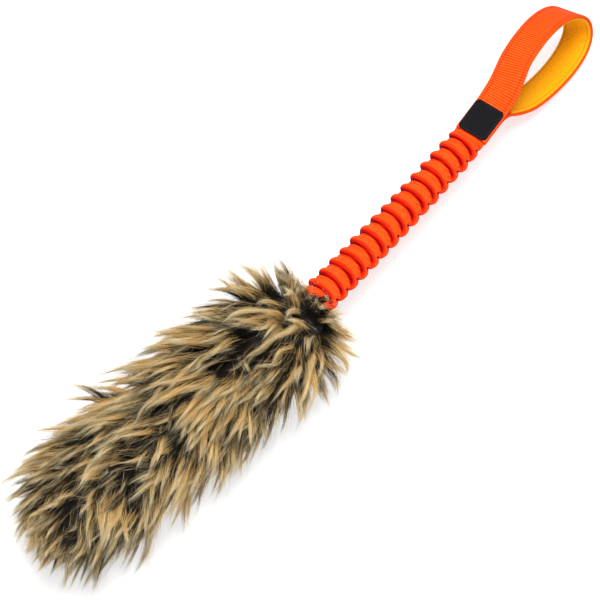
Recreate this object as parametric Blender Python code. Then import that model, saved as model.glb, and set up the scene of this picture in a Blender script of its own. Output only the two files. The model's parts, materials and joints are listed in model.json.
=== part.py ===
"""Dog tug toy: a faux fur body, a gathered bungee sleeve and a lined hand loop.

The toy lies on the floor, +Z up, with +X from the fur towards the hand loop.
"""
import math

import bpy
import bmesh
from mathutils import Matrix, Vector
from mathutils.geometry import interpolate_bezier

MM = 0.001

# Room left between two pieces that touch
FIT_GAP = 0.3 * MM

# Webbing of the handle and the sleeve
WEBBING_WIDTH = 25 * MM
WEBBING_THICKNESS = 1.8 * MM
WEBBING_EDGE = 0.4 * MM

# Hand loop, measured from its throat
LOOP_REACH = 107 * MM
LOOP_RISE = 26.5 * MM
LOOP_DROP = 30 * MM
LOOP_TIP_DROP = 7.4 * MM
LOOP_TOP_AT = 60 * MM
LOOP_BOTTOM_AT = 68.5 * MM
LOOP_PITCH = math.radians(-4)
LOOP_LEAN = math.radians(-14)
LOOP_TWIST_LENGTH = 30 * MM
FRONT_SPREAD = math.radians(32)
BACK_SPREAD = math.radians(43)
THROAT_RADIUS = 3.9 * MM
THROAT_DROP = 1.2 * MM
LINING_WIDTH = 23.4 * MM
LINING_THICKNESS = 2 * MM
LINING_START = 2.5 * MM

# Sewn block under the label
BLOCK_LENGTH = 27 * MM
BLOCK_PITCH = math.radians(13)
LABEL_WIDTH = 23.6 * MM
LABEL_LENGTH = 26 * MM
LABEL_THICKNESS = 1.2 * MM
LABEL_CORNER = 3 * MM

# Gathered sleeve, from the fur mouth to the block
SLEEVE_SPAN = 184.5 * MM
SLEEVE_ROLLS = 16
ROLL_WIDTH = 26.4 * MM
ROLL_HEIGHT = 17 * MM
VALLEY_WIDTH = 22.4 * MM
VALLEY_HEIGHT = 13.4 * MM
SLEEVE_WALL = 1.2 * MM
SLEEVE_SEAM = 4 * MM
SLEEVE_SLANT = 0.27
FLAT_WIDTH = 24.6 * MM
FLAT_HEIGHT = 5.6 * MM
FLAT_SHARE = 0.07
SLEEVE_START_SLOPE = math.radians(-6.7)
SLEEVE_END_SLOPE = math.radians(3)
ELASTIC_DIAMETER = 9 * MM

# Fur body, from its mouth to its far end
FUR_LENGTH = 247 * MM
FUR_RADIUS = 46 * MM
FUR_CONE_ANGLE = math.radians(42)
FUR_SHOULDER_RADIUS = 41.5 * MM
FUR_SHOULDER_AT = 44 * MM
SHOULDER_SLOPE = math.radians(3)
FUR_TAIL_RADIUS = 37.5 * MM
FUR_TAIL_LENGTH = 35 * MM
FUR_AXIS_HEIGHT = 41 * MM
FUR_YAW = math.radians(-7.5)
FUR_PILE = 20 * MM
FUR_RIM = 2 * MM
NECK_LENGTH = 10 * MM

# Rows of tufts that lie over one another on the fur body
TUFT_PITCH = 22 * MM
TUFTS_ROUND = 10
TUFT_RISE = 3 * MM
TUFT_DIP = 4 * MM
TUFT_STEPS = (0.0, 0.35, 0.7, 0.93)

# Hollows where the pile parts: distance from the mouth, angle round the body from its left side over
# the top, and half width
PARTING_DEPTH = 7 * MM
PARTINGS = (
    (57 * MM, math.radians(112), 15 * MM),
    (48 * MM, math.radians(56), 12 * MM),
    (92 * MM, math.radians(64), 10 * MM),
    (102 * MM, math.radians(146), 9 * MM),
    (126 * MM, math.radians(102), 15 * MM),
    (168 * MM, math.radians(134), 12 * MM),
    (206 * MM, math.radians(112), 14 * MM),
    (209 * MM, math.radians(44), 13 * MM),
    (60 * MM, math.radians(205), 14 * MM),
    (130 * MM, math.radians(196), 12 * MM),
    (190 * MM, math.radians(190), 13 * MM),
    (75 * MM, math.radians(0), 12 * MM),
    (150 * MM, math.radians(8), 13 * MM),
)

# Webbing tongue that carries the pull inside the fur body
CORE_STRAP_WIDTH = 15 * MM
CORE_STRAP_END_ROOM = 14 * MM
TONGUE_LENGTH = 15 * MM

# Facets
ROUND_SIDES = 24
FUR_SIDES = 4 * TUFTS_ROUND
BEZIER_STEPS = 14


def clear_scene():
    for thing in list(bpy.data.objects):
        bpy.data.objects.remove(thing)


def new_collection(name):
    collection = bpy.data.collections.new(name)
    bpy.context.scene.collection.children.link(collection)
    return collection


def finish(name, colour, roughness, metallic=0.0):
    """A Principled material with one plain colour."""
    material = bpy.data.materials.new(name)
    material.use_nodes = True
    shader = material.node_tree.nodes["Principled BSDF"]
    shader.inputs["Base Color"].default_value = (*colour, 1.0)
    shader.inputs["Roughness"].default_value = roughness
    shader.inputs["Metallic"].default_value = metallic
    return material


class Carrier:
    """An empty on a joint's axis. The pieces that move with it are its children."""

    def __init__(self, name, pivot, parent=None):
        self.pivot = Vector(pivot)
        self.empty = bpy.data.objects.new(name, None)
        self.empty.empty_display_size = 10 * MM
        bpy.context.scene.collection.objects.link(self.empty)
        if parent:
            self.empty.parent = parent.empty
            self.empty.location = self.pivot - parent.pivot

    def add(self, name, bm, material, collection):
        """Make an object of a mesh that was drawn in the toy's own frame."""
        bmesh.ops.remove_doubles(bm, verts=bm.verts, dist=0.001 * MM)
        bmesh.ops.recalc_face_normals(bm, faces=bm.faces)
        bmesh.ops.translate(bm, verts=bm.verts, vec=-self.pivot)
        mesh = bpy.data.meshes.new(name)
        bm.to_mesh(mesh)
        bm.free()
        mesh.shade_smooth()
        mesh.set_sharp_from_angle(angle=math.radians(40))
        piece = bpy.data.objects.new(name, mesh)
        piece.parent = self.empty
        if material:
            mesh.materials.append(material)
        collection.objects.link(piece)
        return piece


def heading(angle):
    """The direction at an angle above +X, in the upright plane."""
    return Vector((math.cos(angle), math.sin(angle)))


def smooth_step(t):
    t = min(max(t, 0.0), 1.0)
    return t * t * (3 - 2 * t)


def curve_through(knots, steps=BEZIER_STEPS):
    """Points on cubic curves through knots, each (point, angle, reach behind, reach ahead)."""
    points = []
    for (p, a, _, ahead), (q, b, behind, _) in zip(knots, knots[1:]):
        start, end = Vector(p), Vector(q)
        run = interpolate_bezier(
            start, start + heading(a) * ahead, end - heading(b) * behind, end, steps + 1
        )
        points += [Vector(v[:2]) for v in (run if not points else run[1:])]
    return points


def normals_along(points, closed=False):
    """The left-hand normal at each point of a plane curve."""
    found = []
    for i, _ in enumerate(points):
        before = points[i - 1] if i or closed else points[i]
        after = points[(i + 1) % len(points)] if i + 1 < len(points) or closed else points[i]
        along = (after - before).normalized()
        found.append(Vector((-along.y, along.x)))
    return found


def loft(rings, closed=False):
    """Skin a row of rings that have the same number of points, and cap an open row."""
    bm = bmesh.new()
    rows = [[bm.verts.new(p) for p in ring] for ring in rings]
    pairs = list(zip(rows, rows[1:] + rows[:1])) if closed else list(zip(rows, rows[1:]))
    for a, b in pairs:
        for i, _ in enumerate(a):
            j = (i + 1) % len(a)
            bm.faces.new((a[i], a[j], b[j], b[i]))
    if not closed:
        bm.faces.new(rows[0])
        bm.faces.new(rows[-1])
    return bm


def webbing_section(width, thickness):
    """Corners of a strap's section as (across, depth), with its edges eased."""
    half, ease = width / 2, min(WEBBING_EDGE, thickness / 3)
    return [
        (-half, ease), (-half + ease, 0), (half - ease, 0), (half, ease),
        (half, thickness - ease), (half - ease, thickness),
        (-half + ease, thickness), (-half, thickness - ease),
    ]


def straight_strap(start, along, up, length, width, thickness, stations=3):
    """A flat strap whose top face starts at a point and runs along a direction."""
    across = up.cross(along)
    rings = []
    for i in range(stations):
        base = start + along * (length * i / (stations - 1))
        rings.append([
            base + across * w - up * depth for w, depth in webbing_section(width, thickness)
        ])
    return loft(rings)


def loop_outline():
    """The loop's outer face from the front of the throat to the back, in its own plane."""
    front = Vector((-math.sin(FRONT_SPREAD), math.cos(FRONT_SPREAD))) * THROAT_RADIUS
    back = Vector((-math.sin(BACK_SPREAD), -math.cos(BACK_SPREAD))) * THROAT_RADIUS
    side_reach = 0.21 * LOOP_REACH
    knots = [
        (front, FRONT_SPREAD, 0, side_reach),
        ((LOOP_TOP_AT, LOOP_RISE), 0.0, 0.22 * LOOP_REACH, 0.22 * LOOP_REACH),
        ((LOOP_REACH, -LOOP_TIP_DROP), -math.pi / 2, 0.18 * LOOP_REACH, 0.16 * LOOP_REACH),
        ((LOOP_BOTTOM_AT, -LOOP_DROP), -math.pi, 0.18 * LOOP_REACH, 0.26 * LOOP_REACH),
        (back, -math.pi - BACK_SPREAD, side_reach, 0),
    ]
    return curve_through(knots)


def throat_bead():
    """The half round at the throat, from the back strand round to the front one."""
    first = -math.pi / 2 - BACK_SPREAD
    last = -3 * math.pi / 2 + FRONT_SPREAD
    steps = 8
    angles = [first + (last - first) * i / steps for i in range(1, steps)]
    return [heading(a) * THROAT_RADIUS for a in angles]


def loop_to_toy(throat):
    """A function that sets a point of the loop's plane, at a distance across, into the toy."""
    tilt = Matrix.Rotation(-LOOP_PITCH, 3, "Y")

    def place(point, across):
        lean = LOOP_LEAN * smooth_step(point.x / LOOP_TWIST_LENGTH)
        upright = Matrix.Rotation(lean, 3, "X") @ Vector((0, across, point.y))
        return throat + tilt @ (upright + Vector((point.x, 0, 0)))

    return place


def strap_ribbon(points, normals, place, width, depth, thickness, closed):
    """A strap that follows a plane outline, sunk below it by a depth."""
    rings = []
    for point, normal in zip(points, normals):
        rings.append([
            place(point - normal * (depth + d), w) for w, d in webbing_section(width, thickness)
        ])
    return loft(rings, closed)


def loop_pieces(throat, carrier, parts, orange, yellow):
    """The strap of the hand loop, closed round its throat, and the lining inside it."""
    outline = loop_outline()
    place = loop_to_toy(throat)
    ring = outline + throat_bead()
    strap = strap_ribbon(
        ring, normals_along(ring, True), place, WEBBING_WIDTH, 0, WEBBING_THICKNESS, True
    )
    carrier.add("loop_strap", strap, orange, parts)

    normals = normals_along(outline)
    lined = [i for i, p in enumerate(outline) if p.x > LINING_START]
    lining = strap_ribbon(
        [outline[i] for i in lined], [normals[i] for i in lined], place,
        LINING_WIDTH, WEBBING_THICKNESS + FIT_GAP, LINING_THICKNESS, False,
    )
    carrier.add("loop_lining", lining, yellow, parts)


def loop_foot():
    """How far the loop reaches below its throat."""
    place = loop_to_toy(Vector((0, 0, 0)))
    half = WEBBING_WIDTH / 2
    return -min(place(p, side).z for p in loop_outline() for side in (-half, half))


def block_pieces(rear, carrier, parts, orange, black):
    """The strap's two ends, sewn one on the other, and the label on the front one."""
    along = Vector((math.cos(BLOCK_PITCH), 0, math.sin(BLOCK_PITCH)))
    up = Vector((-math.sin(BLOCK_PITCH), 0, math.cos(BLOCK_PITCH)))
    seam = up * (FIT_GAP / 2)
    front = straight_strap(
        rear + seam + up * WEBBING_THICKNESS, along, up,
        BLOCK_LENGTH, WEBBING_WIDTH, WEBBING_THICKNESS,
    )
    carrier.add("strap_front_end", front, orange, parts)
    back = straight_strap(
        rear - seam, along, up, BLOCK_LENGTH, WEBBING_WIDTH, WEBBING_THICKNESS
    )
    carrier.add("strap_back_end", back, orange, parts)

    label = bmesh.new()
    bmesh.ops.create_cube(label, size=1)
    bmesh.ops.scale(label, verts=label.verts, vec=(LABEL_LENGTH, LABEL_WIDTH, LABEL_THICKNESS))
    corners = [e for e in label.edges if abs(e.verts[0].co.z - e.verts[1].co.z) > 0.5 * LABEL_THICKNESS]
    bmesh.ops.bevel(
        label, geom=corners, offset=LABEL_CORNER, segments=5, profile=0.5,
        affect="EDGES", material=-1,
    )
    lift = WEBBING_THICKNESS + 1.5 * FIT_GAP + LABEL_THICKNESS / 2
    middle = rear + along * (BLOCK_LENGTH - LABEL_LENGTH / 2) + up * lift
    tilt = Matrix.Rotation(-BLOCK_PITCH, 4, "Y")
    bmesh.ops.transform(label, matrix=Matrix.Translation(middle) @ tilt, verts=label.verts)
    carrier.add("label", label, black, parts)


def sleeve_line(mouth, rear, steps):
    """Points and normals along the sleeve's middle, square to the mouth and to the block."""
    reach = 0.32 * (rear.x - mouth.x)
    start, end = Vector((mouth.x, mouth.z)), Vector((rear.x, rear.z))
    ahead = start + heading(SLEEVE_START_SLOPE) * reach
    behind = end - heading(SLEEVE_END_SLOPE) * reach
    points = [Vector(p[:2]) for p in interpolate_bezier(start, ahead, behind, end, steps + 1)]
    normals = normals_along(points)
    for i, normal in enumerate(normals):
        upright = 1 - smooth_step(i / steps / FLAT_SHARE)
        turn = (BLOCK_PITCH - SLEEVE_END_SLOPE) * flattening(i / steps)
        normals[i] = Matrix.Rotation(turn - SLEEVE_START_SLOPE * upright, 2) @ normal
    return points, normals


def flattening(share):
    """How far the sleeve has been pressed flat where it is sewn into the block."""
    return smooth_step((share - 1 + FLAT_SHARE) / FLAT_SHARE)


def blend(start, end, share):
    return start + (end - start) * share


def oval_ring(middle, normal, width, height, slant, sides=ROUND_SIDES):
    """A ring across the sleeve, slanted so that its far side lies further along."""
    along = Vector((normal.y, -normal.x))
    ring = []
    for i in range(sides):
        angle = 2 * math.pi * i / sides
        across, rise = math.cos(angle) * width / 2, math.sin(angle) * height / 2
        spot = middle + normal * rise + along * (slant * across)
        ring.append(Vector((spot.x, across, spot.y)))
    return ring


def roll_fullness(share):
    """How full a roll is at a share of its length: sharp valleys and a round top."""
    return math.sin(math.pi * share) ** 0.6 if 0 < share < 1 else 0.0


def gathered_sleeve(mouth, rear, carrier, parts, orange):
    """A tube of webbing pushed together into slanted rolls, hollow for the elastic."""
    spots = (0.0, 0.12, 0.34, 0.66, 0.88)
    shares = [(roll + s) / SLEEVE_ROLLS for roll in range(SLEEVE_ROLLS) for s in spots] + [1.0]
    steps = 240
    points, normals = sleeve_line(mouth, rear, steps)
    seam = points[0] - Vector((SLEEVE_SEAM, 0))
    rings = [oval_ring(seam, normals[0], VALLEY_WIDTH, VALLEY_HEIGHT, 0.0)]
    for share in shares:
        i = round(share * steps)
        full = roll_fullness((share * SLEEVE_ROLLS) % 1.0) if share < 1 else 0.0
        flat = flattening(share)
        width = blend(VALLEY_WIDTH, ROLL_WIDTH, full)
        height = blend(VALLEY_HEIGHT, ROLL_HEIGHT, full)
        slant = SLEEVE_SLANT * min(1.0, 10 * share, 10 * (1 - share))
        rings.append(oval_ring(
            points[i], normals[i], blend(width, FLAT_WIDTH, flat),
            blend(height, FLAT_HEIGHT, flat), slant,
        ))
    for i in range(steps, -1, -steps // 16):
        flat = flattening(i / steps)
        width, height = blend(VALLEY_WIDTH, FLAT_WIDTH, flat), blend(VALLEY_HEIGHT, FLAT_HEIGHT, flat)
        rings.append(oval_ring(
            points[i], normals[i], width - 2 * SLEEVE_WALL, height - 2 * SLEEVE_WALL, 0.0
        ))
    rings.append(oval_ring(
        seam, normals[0], VALLEY_WIDTH - 2 * SLEEVE_WALL, VALLEY_HEIGHT - 2 * SLEEVE_WALL, 0.0
    ))
    carrier.add("gathered_sleeve", loft(rings, True), orange, parts)


def elastic_cord(mouth, rear, carrier, parts, white):
    """The shock cord inside the sleeve, from the tongue to the block."""
    steps = 60
    points, normals = sleeve_line(mouth, rear, steps)
    first = math.ceil(steps * (TONGUE_LENGTH + 2 * FIT_GAP) / SLEEVE_SPAN)
    flat_height = FLAT_HEIGHT - 2 * SLEEVE_WALL - 2 * FIT_GAP
    rings = []
    for i in range(first, steps + 1, 2):
        height = blend(ELASTIC_DIAMETER, flat_height, flattening(min(1.0, i / steps + 0.03)))
        rings.append(oval_ring(points[i], normals[i], ELASTIC_DIAMETER, height, 0.0, 16))
    carrier.add("elastic_cord", loft(rings), white, parts)


def strap_tongue(mouth, carrier, parts, grey):
    """The end of the core strap, which is sewn into the sleeve."""
    along3 = Vector((math.cos(SLEEVE_START_SLOPE), 0, math.sin(SLEEVE_START_SLOPE)))
    up = Vector((-math.sin(SLEEVE_START_SLOPE), 0, math.cos(SLEEVE_START_SLOPE)))
    top = mouth + along3 * FIT_GAP + up * (WEBBING_THICKNESS / 2)
    tongue = straight_strap(
        top, along3, up, TONGUE_LENGTH - FIT_GAP, CORE_STRAP_WIDTH, WEBBING_THICKNESS
    )
    carrier.add("strap_tongue", tongue, grey, parts)


def fur_outline():
    """The fur's outer half width against the distance from its mouth."""
    mouth_radius = VALLEY_WIDTH / 2 + FUR_RIM
    tail_at = FUR_LENGTH - FUR_TAIL_LENGTH
    middle_at = (FUR_SHOULDER_AT + tail_at) / 2
    tail_fall = math.atan2(FUR_TAIL_RADIUS - FUR_RADIUS, FUR_TAIL_LENGTH)
    cone_reach, middle_reach = 0.41 * FUR_SHOULDER_AT, 0.4 * (tail_at - middle_at)
    knots = [
        ((0, mouth_radius), FUR_CONE_ANGLE, 0, cone_reach),
        ((FUR_SHOULDER_AT, FUR_SHOULDER_RADIUS), SHOULDER_SLOPE, cone_reach, 0.7 * middle_reach),
        ((middle_at, FUR_RADIUS), 0.0, 0.8 * middle_reach, middle_reach),
        ((tail_at, FUR_TAIL_RADIUS), 1.4 * tail_fall, 0.7 * middle_reach, 0.5 * FUR_TAIL_LENGTH),
        ((FUR_LENGTH, 0), -math.pi / 2, 0.6 * FUR_TAIL_RADIUS, 0),
    ]
    return curve_through(knots, 7)


def fur_ring(distance, half_width, half_height, height):
    """An upright ring round the fur's middle line, which runs back from the mouth."""
    ring = []
    for i in range(FUR_SIDES):
        angle = 2 * math.pi * (i + 0.5) / FUR_SIDES
        y, z = math.cos(angle) * half_width, height + math.sin(angle) * half_height
        ring.append(Vector((-distance, y, max(z, 0.0))))
    return ring


def tuft_places(outline):
    """Each row of tufts along the outline, as (row, share of the row's height, point)."""
    lengths = [0.0]
    for a, b in zip(outline, outline[1:]):
        lengths.append(lengths[-1] + (b - a).length)
    rows = round(lengths[-1] / TUFT_PITCH)
    places, i = [], 0
    for row in range(rows):
        for step in TUFT_STEPS:
            reach = lengths[-1] * (row + step) / rows
            while lengths[i + 1] < reach:
                i += 1
            share = (reach - lengths[i]) / (lengths[i + 1] - lengths[i])
            places.append((row, step / TUFT_STEPS[-1], outline[i].lerp(outline[i + 1], share)))
    places.append((rows, 0.0, outline[-1]))
    return places


def parting_depth(distance, angle, half):
    """How far the pile lies below its outline where it parts."""
    depth = 0.0
    for parting_at, parting_angle, reach in PARTINGS:
        turn = (angle - parting_angle + math.pi) % (2 * math.pi) - math.pi
        gap = math.hypot(distance - parting_at, half * turn)
        depth = max(depth, PARTING_DEPTH * math.exp(-((gap / reach) ** 2)))
    return depth


def pile_ring(row, rise, distance, half, height):
    """A ring of tufts, whose tips lie between those of the row before, flat on the floor."""
    fullness = smooth_step((distance - SLEEVE_SEAM) / FUR_PILE) * smooth_step(half / FUR_PILE)
    fullness *= half / FUR_RADIUS
    ring = []
    for i in range(FUR_SIDES):
        angle = 2 * math.pi * (i + 0.5) / FUR_SIDES
        side = (1 + math.cos(TUFTS_ROUND * angle + math.pi * (row + 0.25))) / 2
        relief = (TUFT_RISE + TUFT_DIP) * rise * side - TUFT_DIP
        out = half + fullness * (relief - parting_depth(distance, angle, half))
        y, z = math.cos(angle) * out, height + math.sin(angle) * out
        ring.append(Vector((-distance, y, max(z, 0.0))))
    return ring


def turned(mouth, distance=FUR_LENGTH):
    """The fur body's turn about its mouth, which grows from the rim to the shoulder."""
    turn = FUR_YAW * smooth_step(distance / FUR_SHOULDER_AT)
    return Matrix.Translation(mouth) @ Matrix.Rotation(turn, 4, "Z") @ Matrix.Translation(-mouth)


def turn_body(bm, mouth):
    for vert in bm.verts:
        vert.co = turned(mouth, mouth.x - vert.co.x) @ vert.co


def stuffing_outline():
    """The inner face of the cover: the outer outline less the pile, with a round far end."""
    radius, last = FUR_RADIUS - FUR_PILE, FUR_LENGTH - FUR_PILE
    neck_at, dome = FUR_SHOULDER_AT, FUR_RADIUS - FUR_PILE
    points = [Vector((NECK_LENGTH, VALLEY_WIDTH / 2))]
    for i in range(5):
        angle = math.pi / 2 * i / 4
        points.append(Vector((
            neck_at - (neck_at - FUR_PILE) * math.cos(angle),
            VALLEY_WIDTH / 2 + (radius - VALLEY_WIDTH / 2) * math.sin(angle),
        )))
    for i in range(6):
        angle = math.pi / 2 * i / 5
        points.append(Vector((last - dome + dome * math.sin(angle), radius * math.cos(angle))))
    return points


def fur_cover(mouth, carrier, parts, fur):
    """A thick closed cover with its tufted pile, open only at the mouth and flat where it lies."""
    rings = []
    for row, rise, p in reversed(tuft_places(fur_outline())):
        rings.append(pile_ring(row, rise, p.x, max(p.y, 1 * MM), mouth.z))
    neck_width, neck_height = VALLEY_WIDTH / 2 + FIT_GAP, VALLEY_HEIGHT / 2 + FIT_GAP
    rings.append(fur_ring(0, neck_width, neck_height, mouth.z))
    rings.append(fur_ring(SLEEVE_SEAM + FIT_GAP, neck_width, neck_height, mouth.z))
    for p in stuffing_outline():
        half = max(p.y, 1 * MM)
        rings.append(fur_ring(p.x, half, half, mouth.z))
    bm = loft(rings)
    turn_body(bm, mouth)
    carrier.add("fur_cover", bm, fur, parts)


def core_strap_box(mouth, spare):
    """The core strap's solid, or with spare room its slot through the stuffing."""
    up = Vector((0, 0, 1))
    corner = CORE_STRAP_WIDTH / 2 * math.sin(abs(FUR_YAW))
    first = 0.0 if spare else corner
    start = mouth + Vector((-first, 0, WEBBING_THICKNESS / 2 + spare))
    length = FUR_LENGTH - FUR_PILE - CORE_STRAP_END_ROOM - first + spare
    bm = straight_strap(
        start, Vector((-1, 0, 0)), up, length, CORE_STRAP_WIDTH + 2 * spare,
        WEBBING_THICKNESS + 2 * spare,
    )
    bmesh.ops.transform(bm, matrix=turned(mouth), verts=bm.verts)
    return bm


def stuffing(mouth, carrier, parts, cutters, white):
    """The fibre roll inside the cover, with a slot for the core strap."""
    rings = []
    for p in stuffing_outline():
        half = max(p.y - FIT_GAP, 0.7 * MM)
        distance = min(max(p.x, NECK_LENGTH + FIT_GAP), FUR_LENGTH - FUR_PILE - FIT_GAP)
        rings.append(fur_ring(distance, half, half, mouth.z))
    bm = loft(rings)
    turn_body(bm, mouth)
    roll = carrier.add("stuffing", bm, white, parts)

    slot = carrier.add("strap_slot", core_strap_box(mouth, FIT_GAP), None, cutters)
    slot.hide_render = True
    slot.display_type = "WIRE"
    cut = roll.modifiers.new("strap slot", "BOOLEAN")
    cut.operation = "DIFFERENCE"
    cut.solver = "EXACT"
    cut.object = slot


def stand_on_origin(toy, parts):
    """Move the toy so that the origin is at the bottom centre of its bounding box."""
    bpy.context.view_layer.update()
    corners = [p.matrix_world @ v.co for p in parts.objects for v in p.data.vertices]
    low = Vector([min(c[i] for c in corners) for i in range(3)])
    high = Vector([max(c[i] for c in corners) for i in range(3)])
    middle = (low + high) / 2
    toy.empty.location = -Vector((middle.x, middle.y, low.z))
    bpy.context.view_layer.update()


def main():
    clear_scene()
    parts = new_collection("dog_tug_toy")
    cutters = new_collection("cutters")
    orange = finish("orange webbing", (1.0, 0.09, 0.006), 0.75)
    yellow = finish("yellow webbing", (0.93, 0.38, 0.008), 0.75)
    black = finish("black label", (0.012, 0.011, 0.014), 0.5)
    fur = finish("faux fur", (0.36, 0.24, 0.11), 0.9)
    white = finish("white fibre", (0.8, 0.8, 0.76), 0.9)
    grey = finish("grey webbing", (0.1, 0.1, 0.1), 0.8)

    # Places along the toy, worked back from the loop, which lies on the floor
    along = Vector((math.cos(BLOCK_PITCH), 0, math.sin(BLOCK_PITCH)))
    mouth = Vector((0, 0, FUR_AXIS_HEIGHT))
    up = Vector((-math.sin(BLOCK_PITCH), 0, math.cos(BLOCK_PITCH)))
    to_throat = along * (BLOCK_LENGTH + FIT_GAP + THROAT_RADIUS) - up * THROAT_DROP
    throat = Vector((SLEEVE_SPAN + FIT_GAP, 0, 0)) + to_throat
    throat.z = loop_foot()
    rear = throat - to_throat
    sleeve_end = rear - along * FIT_GAP

    toy = Carrier("toy", (0, 0, 0))
    lift = Carrier("bungee_lift", mouth, toy)
    swing = Carrier("bungee_swing", mouth, lift)
    stretch = Carrier("bungee_stretch", sleeve_end, swing)
    fold = Carrier("loop_fold", throat, stretch)

    fur_cover(mouth, toy, parts, fur)
    stuffing(mouth, toy, parts, cutters, white)
    toy.add("core_strap", core_strap_box(mouth, 0.0), grey, parts)
    strap_tongue(mouth, lift, parts, grey)
    gathered_sleeve(mouth, sleeve_end, swing, parts, orange)
    elastic_cord(mouth, sleeve_end, swing, parts, white)
    block_pieces(rear, stretch, parts, orange, black)
    loop_pieces(throat, fold, parts, orange, yellow)
    stand_on_origin(toy, parts)


main()
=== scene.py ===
# %% [markdown]
# A dog tug toy, dressed
#
# The toy has three parts in a row: a stuffed body of long faux fur, a bungee in a gathered sleeve of
# orange webbing, and a hand loop of the same webbing with a yellow lining. This script takes the
# packed solids as a fixed frame and models the visible cloth, thread and hair around them.

import json
import math

import bmesh
import bpy
import numpy as np
from mathutils import Matrix, Vector, noise
from mathutils.geometry import interpolate_bezier


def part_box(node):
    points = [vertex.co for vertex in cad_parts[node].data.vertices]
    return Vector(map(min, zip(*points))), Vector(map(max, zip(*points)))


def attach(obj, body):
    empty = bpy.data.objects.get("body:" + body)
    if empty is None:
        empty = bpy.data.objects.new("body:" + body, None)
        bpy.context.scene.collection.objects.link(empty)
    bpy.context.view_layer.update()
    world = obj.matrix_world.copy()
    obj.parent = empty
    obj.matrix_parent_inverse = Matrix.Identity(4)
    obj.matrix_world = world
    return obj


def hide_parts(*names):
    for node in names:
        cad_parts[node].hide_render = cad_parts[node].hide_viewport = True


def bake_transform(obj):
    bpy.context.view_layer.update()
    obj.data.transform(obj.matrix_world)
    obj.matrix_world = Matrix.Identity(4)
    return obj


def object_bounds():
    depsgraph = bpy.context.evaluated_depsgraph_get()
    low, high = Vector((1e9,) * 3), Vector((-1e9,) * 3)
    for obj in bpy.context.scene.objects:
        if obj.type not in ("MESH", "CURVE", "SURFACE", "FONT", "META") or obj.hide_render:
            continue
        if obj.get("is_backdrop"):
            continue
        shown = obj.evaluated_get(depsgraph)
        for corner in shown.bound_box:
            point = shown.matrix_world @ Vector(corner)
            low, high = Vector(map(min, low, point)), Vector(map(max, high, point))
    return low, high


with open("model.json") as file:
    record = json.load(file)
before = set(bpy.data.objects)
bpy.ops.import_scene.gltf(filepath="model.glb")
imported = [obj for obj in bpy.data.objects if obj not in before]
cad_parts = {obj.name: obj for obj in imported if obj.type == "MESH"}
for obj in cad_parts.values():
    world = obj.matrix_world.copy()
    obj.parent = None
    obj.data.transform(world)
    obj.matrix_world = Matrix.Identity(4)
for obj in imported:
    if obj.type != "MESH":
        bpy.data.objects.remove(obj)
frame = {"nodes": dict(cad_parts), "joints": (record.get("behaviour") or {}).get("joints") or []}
cad_box = [[float(v) for v in corner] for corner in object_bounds()]
MM = 0.001

# %% [markdown]
# Places that the frame gives
#
# The mouth of the fur and the throat of the loop are joint positions, so the pieces that bend there
# start from the same points as the solids. The sewn block under the label gives a third place.

# %% Mouth, throat and block
joint_at = {j["name"]: Vector(j.get("pos_m") or (0, 0, 0)) for j in frame["joints"]}
mouth = joint_at["bungee_lift"]
throat = joint_at["loop_fold"]


def middle(node):
    low, high = (Vector(corner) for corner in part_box(node))
    return (low + high) / 2


block_middle = (middle("strap_front_end") + middle("strap_back_end")) / 2
BLOCK_PITCH = math.radians(13)
block_along = Vector((math.cos(BLOCK_PITCH), 0, math.sin(BLOCK_PITCH)))
block_up = Vector((-math.sin(BLOCK_PITCH), 0, math.cos(BLOCK_PITCH)))
print("mouth", tuple(mouth), "throat", tuple(throat))

# %% [markdown]
# Camera
#
# The photograph looks down on the toy from behind the fur, at 58 degrees above the floor, with a long
# lens. The toy's length runs up and to the right. The camera is aimed so that the middle of the sewn
# block falls on its own pixel of the photograph, which fixes the whole framing.

# %% Camera at the photograph's angle
PHOTO_SIZE = 600
PLAN_ANGLE = math.radians(52.5)
ELEVATION = math.radians(58)
CAMERA_DISTANCE = 1.5
PIXELS_PER_METRE = 1420
SENSOR_WIDTH = 36
BLOCK_PIXEL = Vector((481.4, 121.5))


def added(name, data):
    """A new object at the origin, linked to the scene."""
    thing = bpy.data.objects.new(name, data)
    bpy.context.scene.collection.objects.link(thing)
    return thing


right = Vector((math.cos(PLAN_ANGLE), -math.sin(PLAN_ANGLE), 0))
ahead = Vector((math.sin(PLAN_ANGLE), math.cos(PLAN_ANGLE), 0))
sight = math.cos(ELEVATION) * ahead - math.sin(ELEVATION) * Vector((0, 0, 1))
upward = right.cross(sight)
focal_pixels = PIXELS_PER_METRE * CAMERA_DISTANCE
across = (BLOCK_PIXEL.x - PHOTO_SIZE / 2) / focal_pixels
above = (PHOTO_SIZE / 2 - BLOCK_PIXEL.y) / focal_pixels

camera_data = bpy.data.cameras.new("photo camera")
camera_data.sensor_width = SENSOR_WIDTH
camera_data.lens = SENSOR_WIDTH * focal_pixels / PHOTO_SIZE
camera_data.clip_end = 20
camera = added("photo camera", camera_data)
turn = Matrix((right, upward, -sight)).transposed()
place = block_middle - CAMERA_DISTANCE * (sight + across * right + above * upward)
camera.matrix_world = Matrix.Translation(place) @ turn.to_4x4()
bpy.context.scene.camera = camera
print("lens", round(camera_data.lens, 1), "mm, from", [round(v, 3) for v in place])

# %% [markdown]
# Materials from nodes
#
# Every finish here is a Principled shader with a few nodes in front of it. A small class keeps the
# recipes short: it adds a node, sets or links its inputs, and ends at the shader. Whatever is the same
# all over a surface is set on the shader itself, because that is what an export keeps.

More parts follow.
